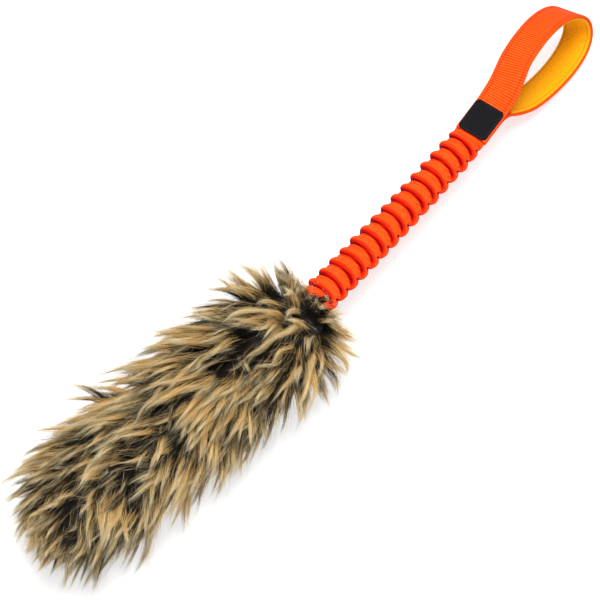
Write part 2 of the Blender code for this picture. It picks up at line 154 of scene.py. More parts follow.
# %% Material helper
class Finish:
    """A material, and short ways to build it."""

    def __init__(self, name):
        self.material = bpy.data.materials.new(name)
        self.material.use_nodes = True
        self.tree = self.material.node_tree

    def feed(self, node, inputs):
        """Link each input that is given a socket, and set the others."""
        for key, value in inputs.items():
            socket = node.inputs[key]
            if isinstance(value, bpy.types.NodeSocket):
                self.tree.links.new(value, socket)
            elif socket.type == "RGBA":
                socket.default_value = (*value, 1)
            else:
                socket.default_value = value

    def add(self, kind, inputs=None, **settings):
        """The outputs of a new node. Its settings come first, because they decide its inputs."""
        node = self.tree.nodes.new("ShaderNode" + kind)
        for setting, value in settings.items():
            setattr(node, setting, value)
        self.feed(node, inputs or {})
        return node.outputs

    def shade(self, inputs):
        """Feed the shader, and give the material."""
        self.feed(self.tree.nodes["Principled BSDF"], inputs)
        return self.material

    def math(self, operation, a, b=0.0):
        return self.add("Math", {0: a, 1: b}, operation=operation)[0]

    def mix(self, factor, low, high, how="MIX"):
        """Blend two colours, each a tuple or a socket, by a factor."""
        inputs = {"Factor": factor, "A": low, "B": high}
        return self.add("Mix", inputs, data_type="RGBA", blend_type=how)["Result"]

    def between(self, value, low, high):
        """0 below low, 1 above high and a soft step between them."""
        inputs = {"Value": value, "From Min": low, "From Max": high}
        return self.add("MapRange", inputs, interpolation_type="SMOOTHSTEP")["Result"]

    def cloud(self, vector, scale, detail=2):
        """Soft random patches."""
        return self.add("TexNoise", {"Vector": vector, "Scale": scale, "Detail": detail})["Fac"]

    def bands(self, vector, direction, period):
        """Bands across one direction of a map in metres, one for each period."""
        inputs = {"Vector": vector, "Scale": math.pi / 10 / period}
        return self.add("TexWave", inputs, bands_direction=direction)["Fac"]

    def stretched(self, vector, scale):
        return self.add("Mapping", {"Vector": vector, "Scale": scale})["Vector"]

    def bump(self, height, depth, strength=1.0):
        """Let a height between 0 and 1 raise the surface by a depth in metres."""
        inputs = {"Height": height, "Distance": depth, "Strength": strength}
        self.shade({"Normal": self.add("Bump", inputs)["Normal"]})


def fibrous(name, low, high, scale, detail=2, roughness=0.9, depth=0.0, stretch=None):
    """A plain material of small fibres between two colours, on the object's own coordinates."""
    finish = Finish(name)
    spot = finish.add("TexCoord")["Object"]
    fibres = finish.cloud(finish.stretched(spot, stretch) if stretch else spot, scale, detail)
    if depth:
        finish.bump(fibres, depth)
    return finish.shade({"Base Color": finish.mix(fibres, low, high), "Roughness": roughness})


print("ways to build a finish:", ", ".join(n for n in vars(Finish) if not n.startswith("_")))

# %% [markdown]
# Floor and light
#
# The toy was photographed on plain white. The floor is a white sheet that keeps a faint shadow. The
# light is a broad white sky with one large soft lamp almost straight above, so that the folds of the
# sleeve and the locks of the fur shade softly on their lower sides.

# %% Floor, sky and lamp
FLOOR_TONE = (0.85, 0.85, 0.85)
FLOOR_TONE_SEEN = (0.37, 0.37, 0.37)
FLOOR_GLOW = 0.71
SKY_STRENGTH = 0.34
LAMP_POWER = 47
LAMP_SIZE = 0.9
LAMP_PLACE = Vector((-0.1, -0.1, 1.7))
WHITE = (1.0, 1.0, 1.0)

bpy.context.scene.view_settings.view_transform = "Standard"


def white_floor():
    """A sheet that is white to the eye and lights the toy only as plain cloth would."""
    finish = Finish("white floor")
    rays = finish.add("LightPath")
    seen = finish.math("MAXIMUM", rays["Is Camera Ray"], rays["Is Glossy Ray"])
    seen = finish.math("MAXIMUM", seen, rays["Is Transmission Ray"])
    return finish.shade({
        "Base Color": finish.mix(rays["Is Camera Ray"], FLOOR_TONE, FLOOR_TONE_SEEN),
        "Emission Color": WHITE,
        "Emission Strength": finish.math("MULTIPLY", seen, FLOOR_GLOW),
        "Roughness": 0.9,
        "Specular IOR Level": 0.0,
    })


floor_mesh = bpy.data.meshes.new("floor")
bm = bmesh.new()
bmesh.ops.create_grid(bm, x_segments=1, y_segments=1, size=4)
bm.to_mesh(floor_mesh)
bm.free()
floor_mesh.materials.append(white_floor())
floor = added("floor", floor_mesh)
floor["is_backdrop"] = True

sky = bpy.data.worlds.new("white sky")
sky.use_nodes = True
background = sky.node_tree.nodes["Background"].inputs
background["Color"].default_value = (*WHITE, 1)
background["Strength"].default_value = SKY_STRENGTH
bpy.context.scene.world = sky

lamp_data = bpy.data.lights.new("soft lamp", "AREA")
lamp_data.size = LAMP_SIZE
lamp_data.energy = LAMP_POWER
lamp = added("soft lamp", lamp_data)
lamp_turn = LAMP_PLACE.to_track_quat("Z", "Y").to_matrix().to_4x4()
lamp.matrix_world = Matrix.Translation(LAMP_PLACE) @ lamp_turn
print("lamp", LAMP_POWER, "W above, sky at", SKY_STRENGTH)

# %% [markdown]
# Webbing
#
# The handle and the sleeve are woven of thick polyester yarn. The weft shows as fine ribs across the
# tape, each nearly 2 mm wide, and the warp breaks each rib into small grains. A flat colour would
# look like plastic, so two waves drive the colour and the bump. The colour is a painted highlight on
# the tops of the ribs and grains and painted shade in the grooves, with soft random tone. The waves
# read a UV map that is measured in metres along and across the tape, so the ribs follow every fold.
# Thread draws the tape in along its seams, and the colour there is painted shade. In the sleeve's
# folds the colour is painted shade as well.

# %% Webbing material
def webbing(name, lit, shaded_tone, shade, fold, rib, grain, depth, seams=()):
    """Ribbed tape with a painted highlight on its ribs, and painted shade in its grooves, folds and
    seams.
    """
    finish = Finish(name)
    uv = finish.add("UVMap", uv_map="tape")["UV"]
    # painted light: the colour follows the rib and grain heights, the lit colour as a painted highlight
    # on their tops and the shaded colour as painted shade in the grooves, with soft random tone from the
    # clouds
    grains = finish.math("MULTIPLY", finish.bands(uv, "Y", grain), 0.35)
    uneven = finish.math("MULTIPLY", finish.cloud(uv, 420, 4), 0.9)
    broad = finish.math("MULTIPLY", finish.cloud(uv, 45), 0.5)
    height = finish.math("ADD", finish.math("ADD", finish.bands(uv, "X", rib), grains), uneven)
    tone = finish.between(finish.math("ADD", height, broad), 0.8, 1.85)
    colour = finish.mix(tone, shaded_tone, lit)

    # painted shade: the sleeve's fold attribute and a narrow band along each seam darken the colour
    # towards the shade colour and then the fold colour
    painted_shade = finish.add("Attribute", attribute_name="fold")["Fac"]
    across_tape = finish.add("SeparateXYZ", {0: uv})["Y"]
    for seam in seams:
        off = finish.math("ABSOLUTE", finish.math("SUBTRACT", across_tape, seam))
        seam_shade = finish.math("SUBTRACT", 0.45, finish.between(off, 0.1 * MM, 0.9 * MM))
        painted_shade = finish.math("MAXIMUM", painted_shade, seam_shade)
    colour = finish.mix(finish.between(painted_shade, 0.0, 0.55), colour, shade)
    colour = finish.mix(finish.between(painted_shade, 0.45, 1.0), colour, fold)
    finish.bump(height, depth, 0.8)
    return finish.shade({"Base Color": colour, "Roughness": 0.75, "Specular IOR Level": 0.08})


# Each tape's first two colours below are a painted highlight for the rib tops and painted shade for the
# grooves, mixed with random tone.
RIB = 1.86 * MM
SLEEVE_RIB = 1.6 * MM
# painted shade: the shade and fold colours, here and the yellow tape's last two, darken the tape in the
# sleeve's folds and along its seams
ORANGE_FOLD_SHADES = ((0.80, 0.014, 0.0), (0.26, 0.0, 0.0))
orange_tape = webbing("orange tape", (1.0, 0.105, 0.008), (0.88, 0.03, 0.001), *ORANGE_FOLD_SHADES,
                      RIB, 0.6 * MM, 0.25 * MM, seams=(2.2 * MM, 21.2 * MM))
orange_sleeve = webbing("orange sleeve", (1.0, 0.115, 0.010), (0.88, 0.022, 0.0), *ORANGE_FOLD_SHADES,
                        SLEEVE_RIB, 0.9 * MM, 0.35 * MM)
yellow_tape = webbing("yellow tape", (0.94, 0.42, 0.005), (0.80, 0.30, 0.002), (0.58, 0.17, 0.0),
                      (0.36, 0.09, 0.0), RIB, 0.6 * MM, 0.2 * MM, seams=(25.6 * MM, 44.6 * MM))
print("webbing ribs every", round(RIB / MM, 2), "mm on the loop")

# %% [markdown]
# Sweeping a section
#
# A strap is one section carried along a route. The section's corners are made once, its edge loop is
# extruded at each station, and the new corners are moved by that station's matrix. This keeps the
# strap's width true round every bend, which a flat plate with a bend modifier wouldn't.

# %% Sweep helper
def sweep(section, stations, uv_start=0.0):
    """Extrude a section of (across, up) corners from station to station, with a UV map in metres."""
    bm = bmesh.new()
    uv = bm.loops.layers.uv.new("tape")
    reach = bm.verts.layers.float.new("reach")
    girth = bm.verts.layers.float.new("girth")
    corners = [bm.verts.new(stations[0] @ Vector((0, y, z))) for y, z in section]
    edges = [bm.edges.new(pair) for pair in zip(corners, corners[1:] + corners[:1])]
    bm.faces.new(corners)
    along, around = uv_start, 0.0
    for corner, here, after in zip(corners, section, section[1:] + section[:1]):
        corner[reach], corner[girth] = along, around
        around += math.dist(here, after)
    for previous, station in zip(stations, stations[1:]):
        grown = bmesh.ops.extrude_edge_only(bm, edges=edges)["geom"]
        verts = [g for g in grown if isinstance(g, bmesh.types.BMVert)]
        edges = [g for g in grown if isinstance(g, bmesh.types.BMEdge)]
        bmesh.ops.transform(bm, matrix=station @ previous.inverted(), verts=verts)
        along += (station.translation - previous.translation).length
        for vert in verts:
            vert[reach] = along
    bmesh.ops.edgeloop_fill(bm, edges=edges)
    bmesh.ops.recalc_face_normals(bm, faces=bm.faces)
    for face in bm.faces:
        girths = [loop.vert[girth] for loop in face.loops]
        wraps = max(girths) - min(girths) > around / 2
        for loop, at in zip(face.loops, girths):
            turned = around if wraps and at < around / 2 else 0.0
            loop[uv].uv = (loop.vert[reach], at + turned)
    return bm


def piece_of(bm, name, material, sharp=50):
    """A finished object at the origin, with its place in its mesh."""
    mesh = bpy.data.meshes.new(name)
    bm.to_mesh(mesh)
    bm.free()
    mesh.shade_smooth()
    mesh.set_sharp_from_angle(angle=math.radians(sharp))
    mesh.materials.append(material)
    print(name, len(mesh.polygons), "faces")
    return added(name, mesh)


def rounded_tape(width, thickness, edge, across=8):
    """The section of a woven tape: flat faces with soft round edges, its top face first."""
    flat, arch, section = width / 2 - edge, (30, 60, 90, 120, 150), []
    for side, height, angles in ((1, 0.0, arch), (-1, -thickness, arch[::-1])):
        section += [(side * (flat - 2 * flat * i / across), height) for i in range(across + 1)]
        for angle in map(math.radians, angles):
            drop = thickness / 2 * (math.cos(angle) - 1)
            section.append((-side * (flat + edge * math.sin(angle)), drop))
    return section


# %% [markdown]
# The route of the strap
#
# The handle is one strap. It is sewn down under the label, leaves the block, opens into the loop and
# comes back under itself. Its outline in the upright plane is a few Bezier curves through the top, tip
# and bottom of the loop. The whole loop leans, because the toy was laid down carelessly, and the lean
# grows over the first 30 mm.

# %% Route of the loop
WEBBING_WIDTH = 25 * MM
STRAP_THICKNESS = 1.7 * MM
LOOP_REACH = 107 * MM
LOOP_TOP = Vector((60 * MM, 26.5 * MM))
LOOP_TIP = Vector((LOOP_REACH, -7.4 * MM))
LOOP_BOTTOM = Vector((68.5 * MM, -30 * MM))
LOOP_PITCH = math.radians(-4)
LOOP_LEAN = math.radians(-14)
LEAN_GROWS_OVER = 30 * MM
FRONT_SPREAD = math.radians(32)
BACK_SPREAD = math.radians(43)
THROAT_RADIUS = 3.9 * MM
THROAT_DROP = 1.2 * MM
BLOCK_LENGTH = 27 * MM
BLOCK_LAYER = 1.95 * MM
TAPE_EDGE = 0.8 * MM
CURVE_STEPS = 24
STATION_PITCH = 1.5 * MM


def heading(angle):
    return Vector((math.cos(angle), math.sin(angle)))


def smooth_step(t):
    t = min(max(t, 0.0), 1.0)
    return t * t * (3 - 2 * t)


def curve_through(knots, steps):
    """Points on Bezier curves through (point, angle, reach behind, reach ahead) knots."""
    points = []
    for (p, a, _, ahead_by), (q, b, behind_by, _) in zip(knots, knots[1:]):
        run = interpolate_bezier(p, p + heading(a) * ahead_by, q - heading(b) * behind_by, q, steps + 1)
        points += [Vector(v[:2]) for v in (run if not points else run[1:])]
    return points


def evenly(points, spacing):
    """The same plane curve with its points at even distances."""
    lengths = [0.0]
    for a, b in zip(points, points[1:]):
        lengths.append(lengths[-1] + (b - a).length)
    count = max(2, round(lengths[-1] / spacing))
    even, i = [], 0
    for k in range(count + 1):
        want = lengths[-1] * k / count
        while i < len(points) - 2 and lengths[i + 1] < want:
            i += 1
        share = (want - lengths[i]) / max(lengths[i + 1] - lengths[i], 1e-9)
        even.append(points[i].lerp(points[i + 1], share))
    return even


def loop_knots():
    """The strap from the front of the throat round the loop and nearly back to the throat."""
    side = 0.21 * LOOP_REACH
    back_angle = -math.pi - BACK_SPREAD
    front = heading(FRONT_SPREAD + math.pi / 2) * THROAT_RADIUS + heading(FRONT_SPREAD) * 8 * MM
    back = heading(back_angle + math.pi / 2) * THROAT_RADIUS - heading(back_angle) * 12 * MM
    return [
        (front, FRONT_SPREAD, 5 * MM, side - 5 * MM),
        (LOOP_TOP, 0.0, 0.22 * LOOP_REACH, 0.22 * LOOP_REACH),
        (LOOP_TIP, -math.pi / 2, 0.18 * LOOP_REACH, 0.16 * LOOP_REACH),
        (LOOP_BOTTOM, -math.pi, 0.18 * LOOP_REACH, 0.26 * LOOP_REACH),
        (back, back_angle, side - 5 * MM, 9 * MM),
    ]


def block_knots():
    """The strap's front end and its back end in the block, as seen from the throat."""
    tilt = BLOCK_PITCH - LOOP_PITCH
    along, layer = heading(tilt), heading(tilt + math.pi / 2) * BLOCK_LAYER
    end = -along * THROAT_RADIUS + heading(tilt + math.pi / 2) * THROAT_DROP
    rear = end - along * BLOCK_LENGTH
    return (
        [(rear + layer, tilt, 0, BLOCK_LENGTH / 3),
         (end + layer - along * 3 * MM, tilt, BLOCK_LENGTH / 3, 4 * MM)],
        [(end - layer - along * 9 * MM, tilt - math.pi, 6 * MM, BLOCK_LENGTH / 4),
         (rear - layer, tilt - math.pi, BLOCK_LENGTH / 4, 0)],
    )


front_end, back_end = block_knots()
strap_route = evenly(curve_through(front_end + loop_knots() + back_end, CURVE_STEPS), STATION_PITCH)
print("strap route", len(strap_route), "stations")

# %% [markdown]
# Stations of the route
#
# Each station is a matrix whose X axis runs along the strap, Y across it and Z out of its outer face.
# The lean turns the stations round the loop's length.

# %% Stations
def leaned(point, across_by):
    """A point of the loop's plane, at a distance across, in the toy's frame."""
    lean = LOOP_LEAN * smooth_step(point.x / LEAN_GROWS_OVER)
    upright = Matrix.Rotation(lean, 3, "X") @ Vector((0, across_by, point.y))
    return throat + Matrix.Rotation(-LOOP_PITCH, 3, "Y") @ (upright + Vector((point.x, 0, 0)))


def station_at(points, i):
    before, after = points[max(i - 1, 0)], points[min(i + 1, len(points) - 1)]
    here = leaned(points[i], 0.0)
    along = (leaned(after, 0.0) - leaned(before, 0.0)).normalized()
    side = (leaned(points[i], 1 * MM) - here).normalized()
    side = (side - along * side.dot(along)).normalized()
    axes = Matrix((along, side, along.cross(side))).transposed()
    return Matrix.Translation(here) @ axes.to_4x4()


strap_stations = [station_at(strap_route, i) for i in range(len(strap_route))]
strap = piece_of(sweep(rounded_tape(WEBBING_WIDTH, STRAP_THICKNESS, TAPE_EDGE), strap_stations),
                 "handle_strap", orange_tape)

# %% [markdown]
# The strap at the throat
#
# The loop folds against its sewn ends at the throat. The strap is one mesh across that place, and its
# place is baked into its mesh.


def bend_at_throat(piece):
    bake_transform(piece)
    return piece


bend_at_throat(strap)
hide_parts("strap_front_end", "strap_back_end", "loop_strap")

# %% [markdown]
# Lining
#
# A second tape in golden yellow is sewn to the inside of the loop. It is a little narrower than the
# strap and ends just ahead of the throat. It follows the strap's own stations, sunk by its thickness.

# %% Lining of the loop
LINING_WIDTH = 23.2 * MM
LINING_THICKNESS = 1.9 * MM
LINING_STARTS = 2.8 * MM

lined = [s for s, p in zip(strap_stations, strap_route) if p.x > LINING_STARTS]
sunk = Matrix.Translation((0, 0, -STRAP_THICKNESS - 0.15 * MM))
lining = piece_of(sweep(rounded_tape(LINING_WIDTH, LINING_THICKNESS, TAPE_EDGE),
                        [s @ sunk for s in lined]), "loop_lining_tape", yellow_tape)
bend_at_throat(lining)
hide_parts("loop_lining")

# %% [markdown]
# Thread
#
# Two rows of lockstitch hold strap and lining together, 3 mm in from each edge. Each stitch is a short
# bead of thread that dips into the tape at both ends. It is modelled once as a small capsule and
# copied along the stations, so hundreds of stitches stay light.

# %% Stitch helper and the loop's rows
STITCH_PITCH = 2.6 * MM
STITCH_LENGTH = 0.82 * STITCH_PITCH
THREAD_RADIUS = 0.24 * MM
EDGE_ROW = WEBBING_WIDTH / 2 - 3 * MM


def thread(name, colour):
    dark = tuple(0.55 * c for c in colour)
    return fibrous(name, dark, colour, 2600, roughness=0.55)


def add_stitch(bm, matrix, length=STITCH_LENGTH, radius=THREAD_RADIUS):
    """One bead of thread along the matrix's X axis, resting on the tape."""
    made = bmesh.ops.create_icosphere(bm, subdivisions=1, radius=radius)["verts"]
    bmesh.ops.scale(bm, vec=(length / 2 / radius, 1.15, 0.8), verts=made)
    bmesh.ops.transform(bm, matrix=matrix, verts=made)


def stitch_rows(stations, lift):
    """Two rows of stitches along a run of stations, lifted out of the strap's outer face."""
    bm = bmesh.new()
    step = 0.0
    for a, b in zip(stations, stations[1:]):
        run = (b.translation - a.translation).length
        while step < run:
            spot = a.lerp(b, step / run)
            for across_by in (-EDGE_ROW, EDGE_ROW):
                add_stitch(bm, spot @ Matrix.Translation((0, across_by, lift)))
            step += STITCH_PITCH
        step -= run
    return bm


loop_run = [s for s, p in zip(strap_stations, strap_route) if p.x > 2 * MM]
outer_rows = piece_of(stitch_rows(loop_run, 0.02 * MM),
                      "loop_stitches_outer", thread("orange thread", (0.72, 0.03, 0.002)))
inner_lift = -STRAP_THICKNESS - LINING_THICKNESS - 0.17 * MM
inner_rows = piece_of(stitch_rows(lined[2:-2], inner_lift),
                      "loop_stitches_inner", thread("yellow thread", (0.66, 0.21, 0.003)))
for rows in (outer_rows, inner_rows):
    bend_at_throat(rows)

# %% [markdown]
# Label
#
# A satin black patch is sewn over the block. Its corners are round and its rim is folded under, so it
# is a thin crowned plate and not a flat card. Its face is plain cloth.

# %% Label patch
LABEL_WIDTH = 23.4 * MM
LABEL_LENGTH = 26 * MM
LABEL_THICKNESS = 1.0 * MM
LABEL_CORNER = 3.2 * MM
LABEL_LIFT = BLOCK_LAYER + 0.25 * MM


def black_satin():
    finish = Finish("black satin patch")
    spot = finish.add("TexCoord")["Object"]
    fine = finish.cloud(spot, 900, 6)
    tone = finish.math("MULTIPLY", finish.math("ADD", fine, finish.cloud(spot, 90)), 0.5)
    colour = finish.mix(tone, (0.002, 0.002, 0.003), (0.007, 0.007, 0.009))
    finish.bump(fine, 0.05 * MM, 0.35)
    return finish.shade({"Base Color": colour, "Roughness": 0.6, "Specular IOR Level": 0.06})


def on_block(x, y, z, turned=0.0):
    """The matrix of a place on the block: along it, across it and above its middle layer."""
    spot = block_middle + block_along * x + Vector((0, y, 0)) + block_up * z
    return (Matrix.Translation(spot) @ Matrix.Rotation(-BLOCK_PITCH, 4, "Y")
            @ Matrix.Rotation(turned, 4, "Z"))


def label_patch():
    bm = bmesh.new()
    bmesh.ops.create_grid(bm, x_segments=10, y_segments=10, size=0.5)
    bmesh.ops.scale(bm, vec=(LABEL_LENGTH, LABEL_WIDTH, 1), verts=bm.verts)
    reach = Vector((LABEL_LENGTH / 2 - LABEL_CORNER, LABEL_WIDTH / 2 - LABEL_CORNER))
    for vert in bm.verts:
        past = Vector((abs(vert.co.x) - reach.x, abs(vert.co.y) - reach.y))
        if past.x > 0 and past.y > 0:
            past = past.normalized() * max(past)
            vert.co.x = math.copysign(reach.x + past.x, vert.co.x)
            vert.co.y = math.copysign(reach.y + past.y, vert.co.y)
    walls = bmesh.ops.extrude_face_region(bm, geom=bm.faces[:] + bm.edges[:] + bm.verts[:])["geom"]
    upper = [g for g in walls if isinstance(g, bmesh.types.BMVert)]
    bmesh.ops.translate(bm, vec=(0, 0, LABEL_THICKNESS), verts=upper)
    bmesh.ops.recalc_face_normals(bm, faces=bm.faces)
    rim = [e for e in bm.edges if e.calc_face_angle(0) > math.radians(60)]
    bmesh.ops.bevel(bm, geom=rim, offset=0.3 * MM, segments=3, profile=0.5, affect="EDGES", material=-1)
    bmesh.ops.transform(bm, matrix=on_block(0, 0, LABEL_LIFT), verts=bm.verts)
    return bm


label = piece_of(label_patch(), "label_patch", black_satin())
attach(label, "grip")
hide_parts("label")

# %% [markdown]
# The label's border
#
# One row of black stitches runs round the label, just in from its rim. Each side is filled with as
# many stitches as fit between the round corners.

# %% Border stitches
BORDER_INSET = 1.3 * MM
BORDER_PITCH = 1.7 * MM


def label_border():
    bm = bmesh.new()
    half = Vector((LABEL_LENGTH / 2 - BORDER_INSET, LABEL_WIDTH / 2 - BORDER_INSET))
    for side, long_half, short_half in ((0, half.x, half.y), (1, half.y, half.x)):
        count = int(2 * (long_half - LABEL_CORNER / 2) / BORDER_PITCH)
        for i in range(count):
            run = (i + 0.5 - count / 2) * BORDER_PITCH
            for edge in (-short_half, short_half):
                spot = (edge, run) if side else (run, edge)
                matrix = on_block(*spot, LABEL_LIFT + LABEL_THICKNESS, math.pi / 2 * side)
                add_stitch(bm, matrix, 1.35 * MM, 0.16 * MM)
    return bm


border = piece_of(label_border(), "label_stitches", thread("black thread", (0.02, 0.02, 0.022)))
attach(border, "grip")

# %% [markdown]
# Gathered sleeve
#
# A tube of webbing is pushed together over the elastic until it stands in rolls. The upper and the
# lower face fold out of step. On top, a deep crease starts at the left edge, arches over the roll and
# dies out before the right edge. The creases of the lower face end as notches in the right edge, so
# the left edge has a knob and a step to each roll and the right edge one round lobe.
#
# A displacement picture can't make the overhangs, so the tube is swept ring by ring, and each corner of
# a ring is then pushed inwards by the two crease functions, and a little towards the handle, which tucks
# the crease under the roll beside it.

# %% Middle line of the sleeve
SLEEVE_ROLLS = 16
SLEEVE_SEAM = 4 * MM
BLOCK_GAP = 0.3 * MM
START_SLOPE = math.radians(-6.7)
END_SLOPE = math.radians(3)
FLAT_SHARE = 0.07
MIDDLE_STEPS = 400
sleeve_end = block_middle - block_along * (BLOCK_LENGTH / 2 + BLOCK_GAP)
sleeve_span = sleeve_end.x - mouth.x


def sleeve_middle():
    reach = 0.32 * sleeve_span
    start, end = Vector((mouth.x, mouth.z)), Vector((sleeve_end.x, sleeve_end.z))
    return interpolate_bezier(start, start + heading(START_SLOPE) * reach,
                              end - heading(END_SLOPE) * reach, end, MIDDLE_STEPS + 1)


def sleeve_station(share):
    """The ring's matrix at a share of the span: X along, Y across, Z up."""
    at = min(max(share, 0.0), 1.0) * MIDDLE_STEPS
    i = min(int(at), MIDDLE_STEPS - 1)
    spot = middle_line[i].lerp(middle_line[i + 1], at - i)
    along = (middle_line[i + 1] - middle_line[i]).normalized()
    angle = math.atan2(along.y, along.x)
    angle += (BLOCK_PITCH - END_SLOPE) * smooth_step((share - 1 + FLAT_SHARE) / FLAT_SHARE)
    angle -= START_SLOPE * (1 - smooth_step(share / FLAT_SHARE))
    here = Vector((spot.x + min(share, 0.0) * sleeve_span, mouth.y, spot.y))
    return Matrix.Translation(here) @ Matrix.Rotation(-angle, 4, "Y")


middle_line = sleeve_middle()
print("sleeve", round(sleeve_span / MM, 1), "mm, a roll every",
      round(sleeve_span / SLEEVE_ROLLS / MM, 2), "mm")

# %% [markdown]
# Profile of a roll
#
# Every roll is a narrow round bead that faces the fur, and a lower web behind it, which dives under
# the next bead. Its depth is a function of the share of the pitch, counted from the crease towards the
# handle. The top face's creases bend towards the fur at the right edge. The lower face's creases wind
# round the underside like a screw, and climb a little more than a pitch from the right to the left.
# Angles are degrees round the tube from its left edge, over the top.

# %% Creases of the two faces
TOP_DEPTH = 4.8 * MM
WEB_DEPTH = 1.2 * MM
KNOB_DEPTH = 3.6 * MM
STEP_DEPTH = 2.6 * MM
LOBE_DEPTH = 3.4 * MM
BEAD_SHARE = 0.32
WEB_SHARE = 0.72
RISE_SHARE = 0.94
DIVE_SHARE = 0.08
KNOB_SHARE = 0.68
UNEVEN = 0.12
# painted shade: the shares of a pitch over which the sleeve's colour is darkened on the bead's front,
# before the dive and round the lobes' cusps
FRONT_SHADE = 0.36
DIVE_SHADE = 0.2
LOBE_SHADE = 0.16
TOP_CREASE = ((-45, 0.36), (0, 0.12), (21, 0.0), (45, -0.045), (90, -0.05), (125, -0.17), (158, -0.39),
              (190, -0.66))
TOP_FACE = (-30, 6, 142, 184)
UNDER_FACE = (142, 168, 338, 368)
UNDER_CREASE_AT_RIGHT = 0.455
UNDER_CREASE_CLIMB = 1.123
RIGHT_EDGE = 201


def jitter(number, salt):
    """A steady random value from -1 to 1 for a roll."""
    return 2 * noise.noise(Vector((number * 7.31 + 0.5, salt * 3.7 + 0.2, 0.4)))


def arc(share):
    """1 at a share of 0, 0 at a share of 1 and a quarter circle between them."""
    return 1 - math.sqrt(max(0.0, 1 - (1 - min(max(share, 0.0), 1.0)) ** 2))


def window(value, opens, opened, closes, closed):
    """1 from opened to closes, 0 before opens and after closed, and soft steps between."""
    rise = smooth_step((value - opens) / (opened - opens))
    return rise * (1 - smooth_step((value - closes) / (closed - closes)))


def top_profile(q):
    """The roll over the top: a deep crease, a round bead, a lower web and the dive."""
    front = TOP_DEPTH * arc(q / BEAD_SHARE)
    back = WEB_DEPTH * arc(1 - max(q - BEAD_SHARE, 0) / (WEB_SHARE - BEAD_SHARE))
    rise = 0.35 * WEB_DEPTH * smooth_step((q - WEB_SHARE) / (RISE_SHARE - WEB_SHARE))
    dive = TOP_DEPTH * smooth_step((q - 1 + DIVE_SHARE) / DIVE_SHARE)
    return max(front, back - rise, dive)


def left_profile(q, share):
    """The roll at the left edge: a round knob, then a step, which is a second knob near the fur."""
    if q < KNOB_SHARE:
        return KNOB_DEPTH * arc(1 - abs(2 * q / KNOB_SHARE - 1))
    bulge = math.sin(math.pi * (q - KNOB_SHARE) / (1 - KNOB_SHARE))
    step = STEP_DEPTH * (0.4 + 0.6 * smooth_step(share / 0.35))
    return KNOB_DEPTH + (step - KNOB_DEPTH) * bulge ** 0.6


def top_fold(phase, degrees):
    """Depth of the upper face's folds at an angle, and how much painted shade a spot gets."""
    angles, shifts = zip(*TOP_CREASE)
    crease_at = float(np.mean(np.interp([degrees - 8, degrees, degrees + 8], angles, shifts)))
    number = math.floor(phase - crease_at)
    crease_at += 0.03 * jitter(number, 1) * math.sin(math.radians(degrees) * 2)
    q = (phase - crease_at) % 1
    on_left = 1 - smooth_step((degrees - 18) / 50)
    depth = top_profile(q) * (1 - on_left) + left_profile(q, phase / SLEEVE_ROLLS) * on_left
    opened = window(degrees, *TOP_FACE)
    # painted shade: darkest on the bead's front next to the crease and on the web before it dives, and
    # stronger at the left and right edges than over the top
    fold_shade = max(1 - q / FRONT_SHADE, (q - 1 + DIVE_SHADE) / DIVE_SHADE, 0) * opened
    fold_shade *= 1.35 - 0.4 * math.sin(math.radians(min(max(degrees, 0), 180))) ** 4
    return depth * opened * (1 + UNEVEN * jitter(number, 3)), fold_shade


def under_fold(phase, degrees):
    """The same for the lower face, whose folds are cusps between round lobes at the right edge."""
    turned = degrees if degrees > 100 else degrees + 360
    crease_at = UNDER_CREASE_AT_RIGHT + UNDER_CREASE_CLIMB * (turned - RIGHT_EDGE) / 180
    q = (phase - crease_at) % 1
    number = math.floor(phase - crease_at)
    opened = window(turned, *UNDER_FACE)
    # painted shade round the cusps between the lobes of the lower face
    fold_shade = max(1 - min(q, 1 - q) / LOBE_SHADE, 0) * opened
    depth = LOBE_DEPTH * (1 + UNEVEN * jitter(number, 5)) * opened * arc(1 - abs(2 * q - 1))
    return depth, fold_shade


print("deepest crease", round(top_profile(0) / MM, 1), "mm, web", round(top_profile(0.6) / MM, 1), "mm")

# %% [markdown]
# Rings of the sleeve
#
# The tube is a sweep of a round ring, so its faces and its UV map come from the sweep helper. Every
# vertex then moves to the tube's oval, less its crease. At the handle end the tube is pressed flat
# under the stitches, and at the mouth it narrows into the fur.

# %% Sleeve meshes
RING_SIDES = 88
RINGS_PER_ROLL = 34
ROLL_HALF = Vector((13.3 * MM, 9.2 * MM))
FLAT_HALF = Vector((12.3 * MM, 2.5 * MM))
OPEN_RADIUS = 10 * MM
TUCK = 0.1
BEND_ROLLS = (0, 0.4, 1.8, SLEEVE_ROLLS)


def flatness(share):
    """0 over most of the sleeve, 1 where it is sewn flat to the block."""
    return smooth_step((share - 1 + FLAT_SHARE * 0.8) / (FLAT_SHARE * 0.8))


def ring_half(share):
    """Half width and half height of the tube before its creases."""
    neck = smooth_step(-share / 0.02) * 0.16 + (1 - smooth_step(share / 0.09)) * 0.07
    return ROLL_HALF.lerp(FLAT_HALF, flatness(share)) * (1 - neck)


def shape_ring_point(share, degrees):
    """Where a corner lies in its ring's frame, (along, across, up), and how much painted shade it gets.
    """
    folds = [fold(share * SLEEVE_ROLLS, degrees) for fold in (top_fold, under_fold)]
    creased = 1 - flatness(share) if share >= 0 else 0.0
    depth, fold_shade = (max(values) * creased for values in zip(*folds))
    half, a = ring_half(share), math.radians(degrees)
    out = Vector((math.cos(a) * half.x, math.sin(a) * half.y))
    swell = 1 + 0.035 * noise.noise(Vector((share * 26, math.cos(a) * 1.2, math.sin(a) * 1.2)))
    placed = out * swell - Vector((math.cos(a), math.sin(a) * 0.9)) * depth
    ripple = 0.18 * MM * noise.noise(Vector((share * 90, degrees / 24, 3.0)))
    return Vector((TUCK * depth + ripple, placed.x, placed.y)), fold_shade


def round_section(sides, radius):
    """Corners of a round tube, from its left edge over the top."""
    turns = [2 * math.pi * i / sides for i in range(sides)]
    return [(math.cos(a) * radius, math.sin(a) * radius) for a in turns]


